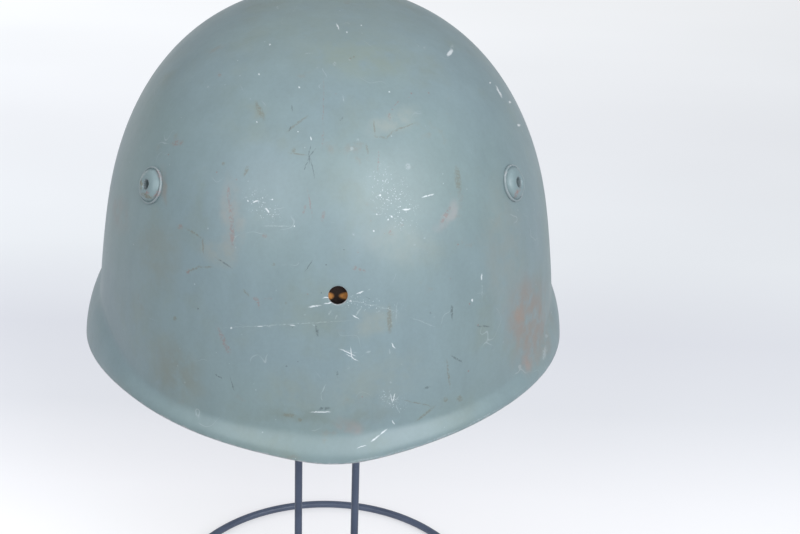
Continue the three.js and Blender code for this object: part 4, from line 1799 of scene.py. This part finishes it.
@dataclass(frozen=True)
class Studio:
    """A pale floor that glows with painted light, unevenly along and across it, a plain pale room, and two soft
    lights at the front.
    """

    floor: Colour = (0.38, 0.38, 0.39)
    # The floor's painted light: how much it glows, by the share of the way back over it.
    glow: tuple[tuple[float, Colour], ...] = (
        (0.0, (0.12, 0.12, 0.13)), (0.05, (0.50, 0.50, 0.51)), (0.10, (0.46, 0.46, 0.48)),
        (0.19, (0.32, 0.33, 0.36)), (0.28, (0.29, 0.30, 0.34)), (0.39, (0.37, 0.39, 0.41)),
        (0.59, (0.39, 0.40, 0.42)), (0.80, (0.47, 0.48, 0.49)), (1.0, (0.5, 0.5, 0.5)),
    )
    glow_from: float = 0.0
    glow_to: float = 1000.0
    glow_drift: float = -0.0005
    drift_reach: float = 400.0
    floor_size: float = 30.0
    floor_gap: float = 0.0005
    room: Colour = (0.88, 0.90, 0.92)
    lamp: Colour = (0.93, 0.97, 1.0)
    room_low: float = 0.32
    room_high: float = 1.2
    target: tuple[float, float, float] = (0.0, 0.0, 0.27)
    lamps: tuple[Lamp, ...] = (Lamp("key", 38.0, 29.0, 1.15, 25.0), Lamp("fill", -33.0, 30.0, 0.9, 11.0))

    def build(self) -> None:
        """Makes the floor, the room's light and the lamps."""
        self._floor()
        world = bpy.data.worlds.new("room")
        world.use_nodes = True
        world.node_tree.nodes.clear()
        graph = Graph(world.node_tree)
        way = graph.node("ShaderNodeTexCoord", None, None, "Generated")
        height = graph.node("ShaderNodeSeparateXYZ", None, {0: way}, "Z")
        strength = height.ramp(0.0, 1.0) * (self.room_high - self.room_low) + self.room_low
        light = graph.node("ShaderNodeBackground", None, {"Color": self.room, "Strength": strength})
        graph.node("ShaderNodeOutputWorld", None, {"Surface": light})
        bpy.context.scene.world = world
        for lamp in self.lamps:
            lamp.build(self.target, self.lamp)
        bpy.context.scene.view_settings.view_transform = "Standard"

    def _floor(self) -> None:
        """Makes the floor, with its painted light."""
        bpy.ops.mesh.primitive_plane_add(size=self.floor_size, location=(0.0, 0.0, -self.floor_gap))
        floor = bpy.context.object
        floor.name = "floor"
        material, graph = new_material("floor")
        at = graph.millimetres()
        along = graph.node("ShaderNodeSeparateXYZ", None, {0: at}, "Y")
        across = graph.node("ShaderNodeSeparateXYZ", None, {0: at}, "X")
        reach = {"Value": along, "From Min": self.glow_from, "From Max": self.glow_to}
        share = graph.node("ShaderNodeMapRange", None, reach)
        glow = graph.node("ShaderNodeValToRGB", {"stops": self.glow}, {"Fac": share})
        # Painted light: the glow drifts from side to side, and painted light and shade of folding in the cloth
        # breaks it up.
        drift = across.smaller(self.drift_reach).larger(-self.drift_reach) * self.glow_drift + 1.0
        painted_fold_shade = graph.noise(at.times((0.4, 1.0, 1.0)), 0.006, 2.0) * 0.2 + 0.9
        lit = {"Emission Color": glow.times(drift * painted_fold_shade), "Emission Strength": 1.0}
        finish_material(graph, {"Base Color": self.floor, "Roughness": 0.9} | lit)
        floor.data.materials.append(material)


def seam(height: float, depth: float, steps: int = 240) -> Array:
    """A closed line of places round the lining at one height and depth, in metres."""
    directions = np.linspace(0.0, 2 * math.pi, steps + 1)
    return FORM.place(FORM.under(directions, np.full_like(directions, height), depth))


def main() -> None:
    """Builds the helmet, its lining, the stand and the studio."""
    CAMERA.build()
    Studio().build()
    Shell(WornPaint("steel_paint", MARKS, STAINS_AND_SHADE)).build()
    rivet_paint = WornPaint("rivet_paint", RIVET_MARKS, (), rust_cover=0.85, edge_wear=0.35).build()
    for name, hole in zip(VENT_DIRECTIONS, VENTS):
        VentRivet(name, hole).build(rivet_paint)
    leather = Leather("leather").build()
    HeadBand().build(leather)
    Tongues().build(leather)
    inner = float(crown_depth(np.array(BAND_BOTTOM))) + LEATHER_THICKNESS
    seams = [seam(height, inner) for height in SEAM_HEIGHTS]
    Stitching(WaxedThread("thread").build()).build("lining_stitches", seams)
    WireStand().build(WirePaint("wire_paint"))


if __name__ == "__main__":
    logging.basicConfig(level=logging.INFO)
    main()
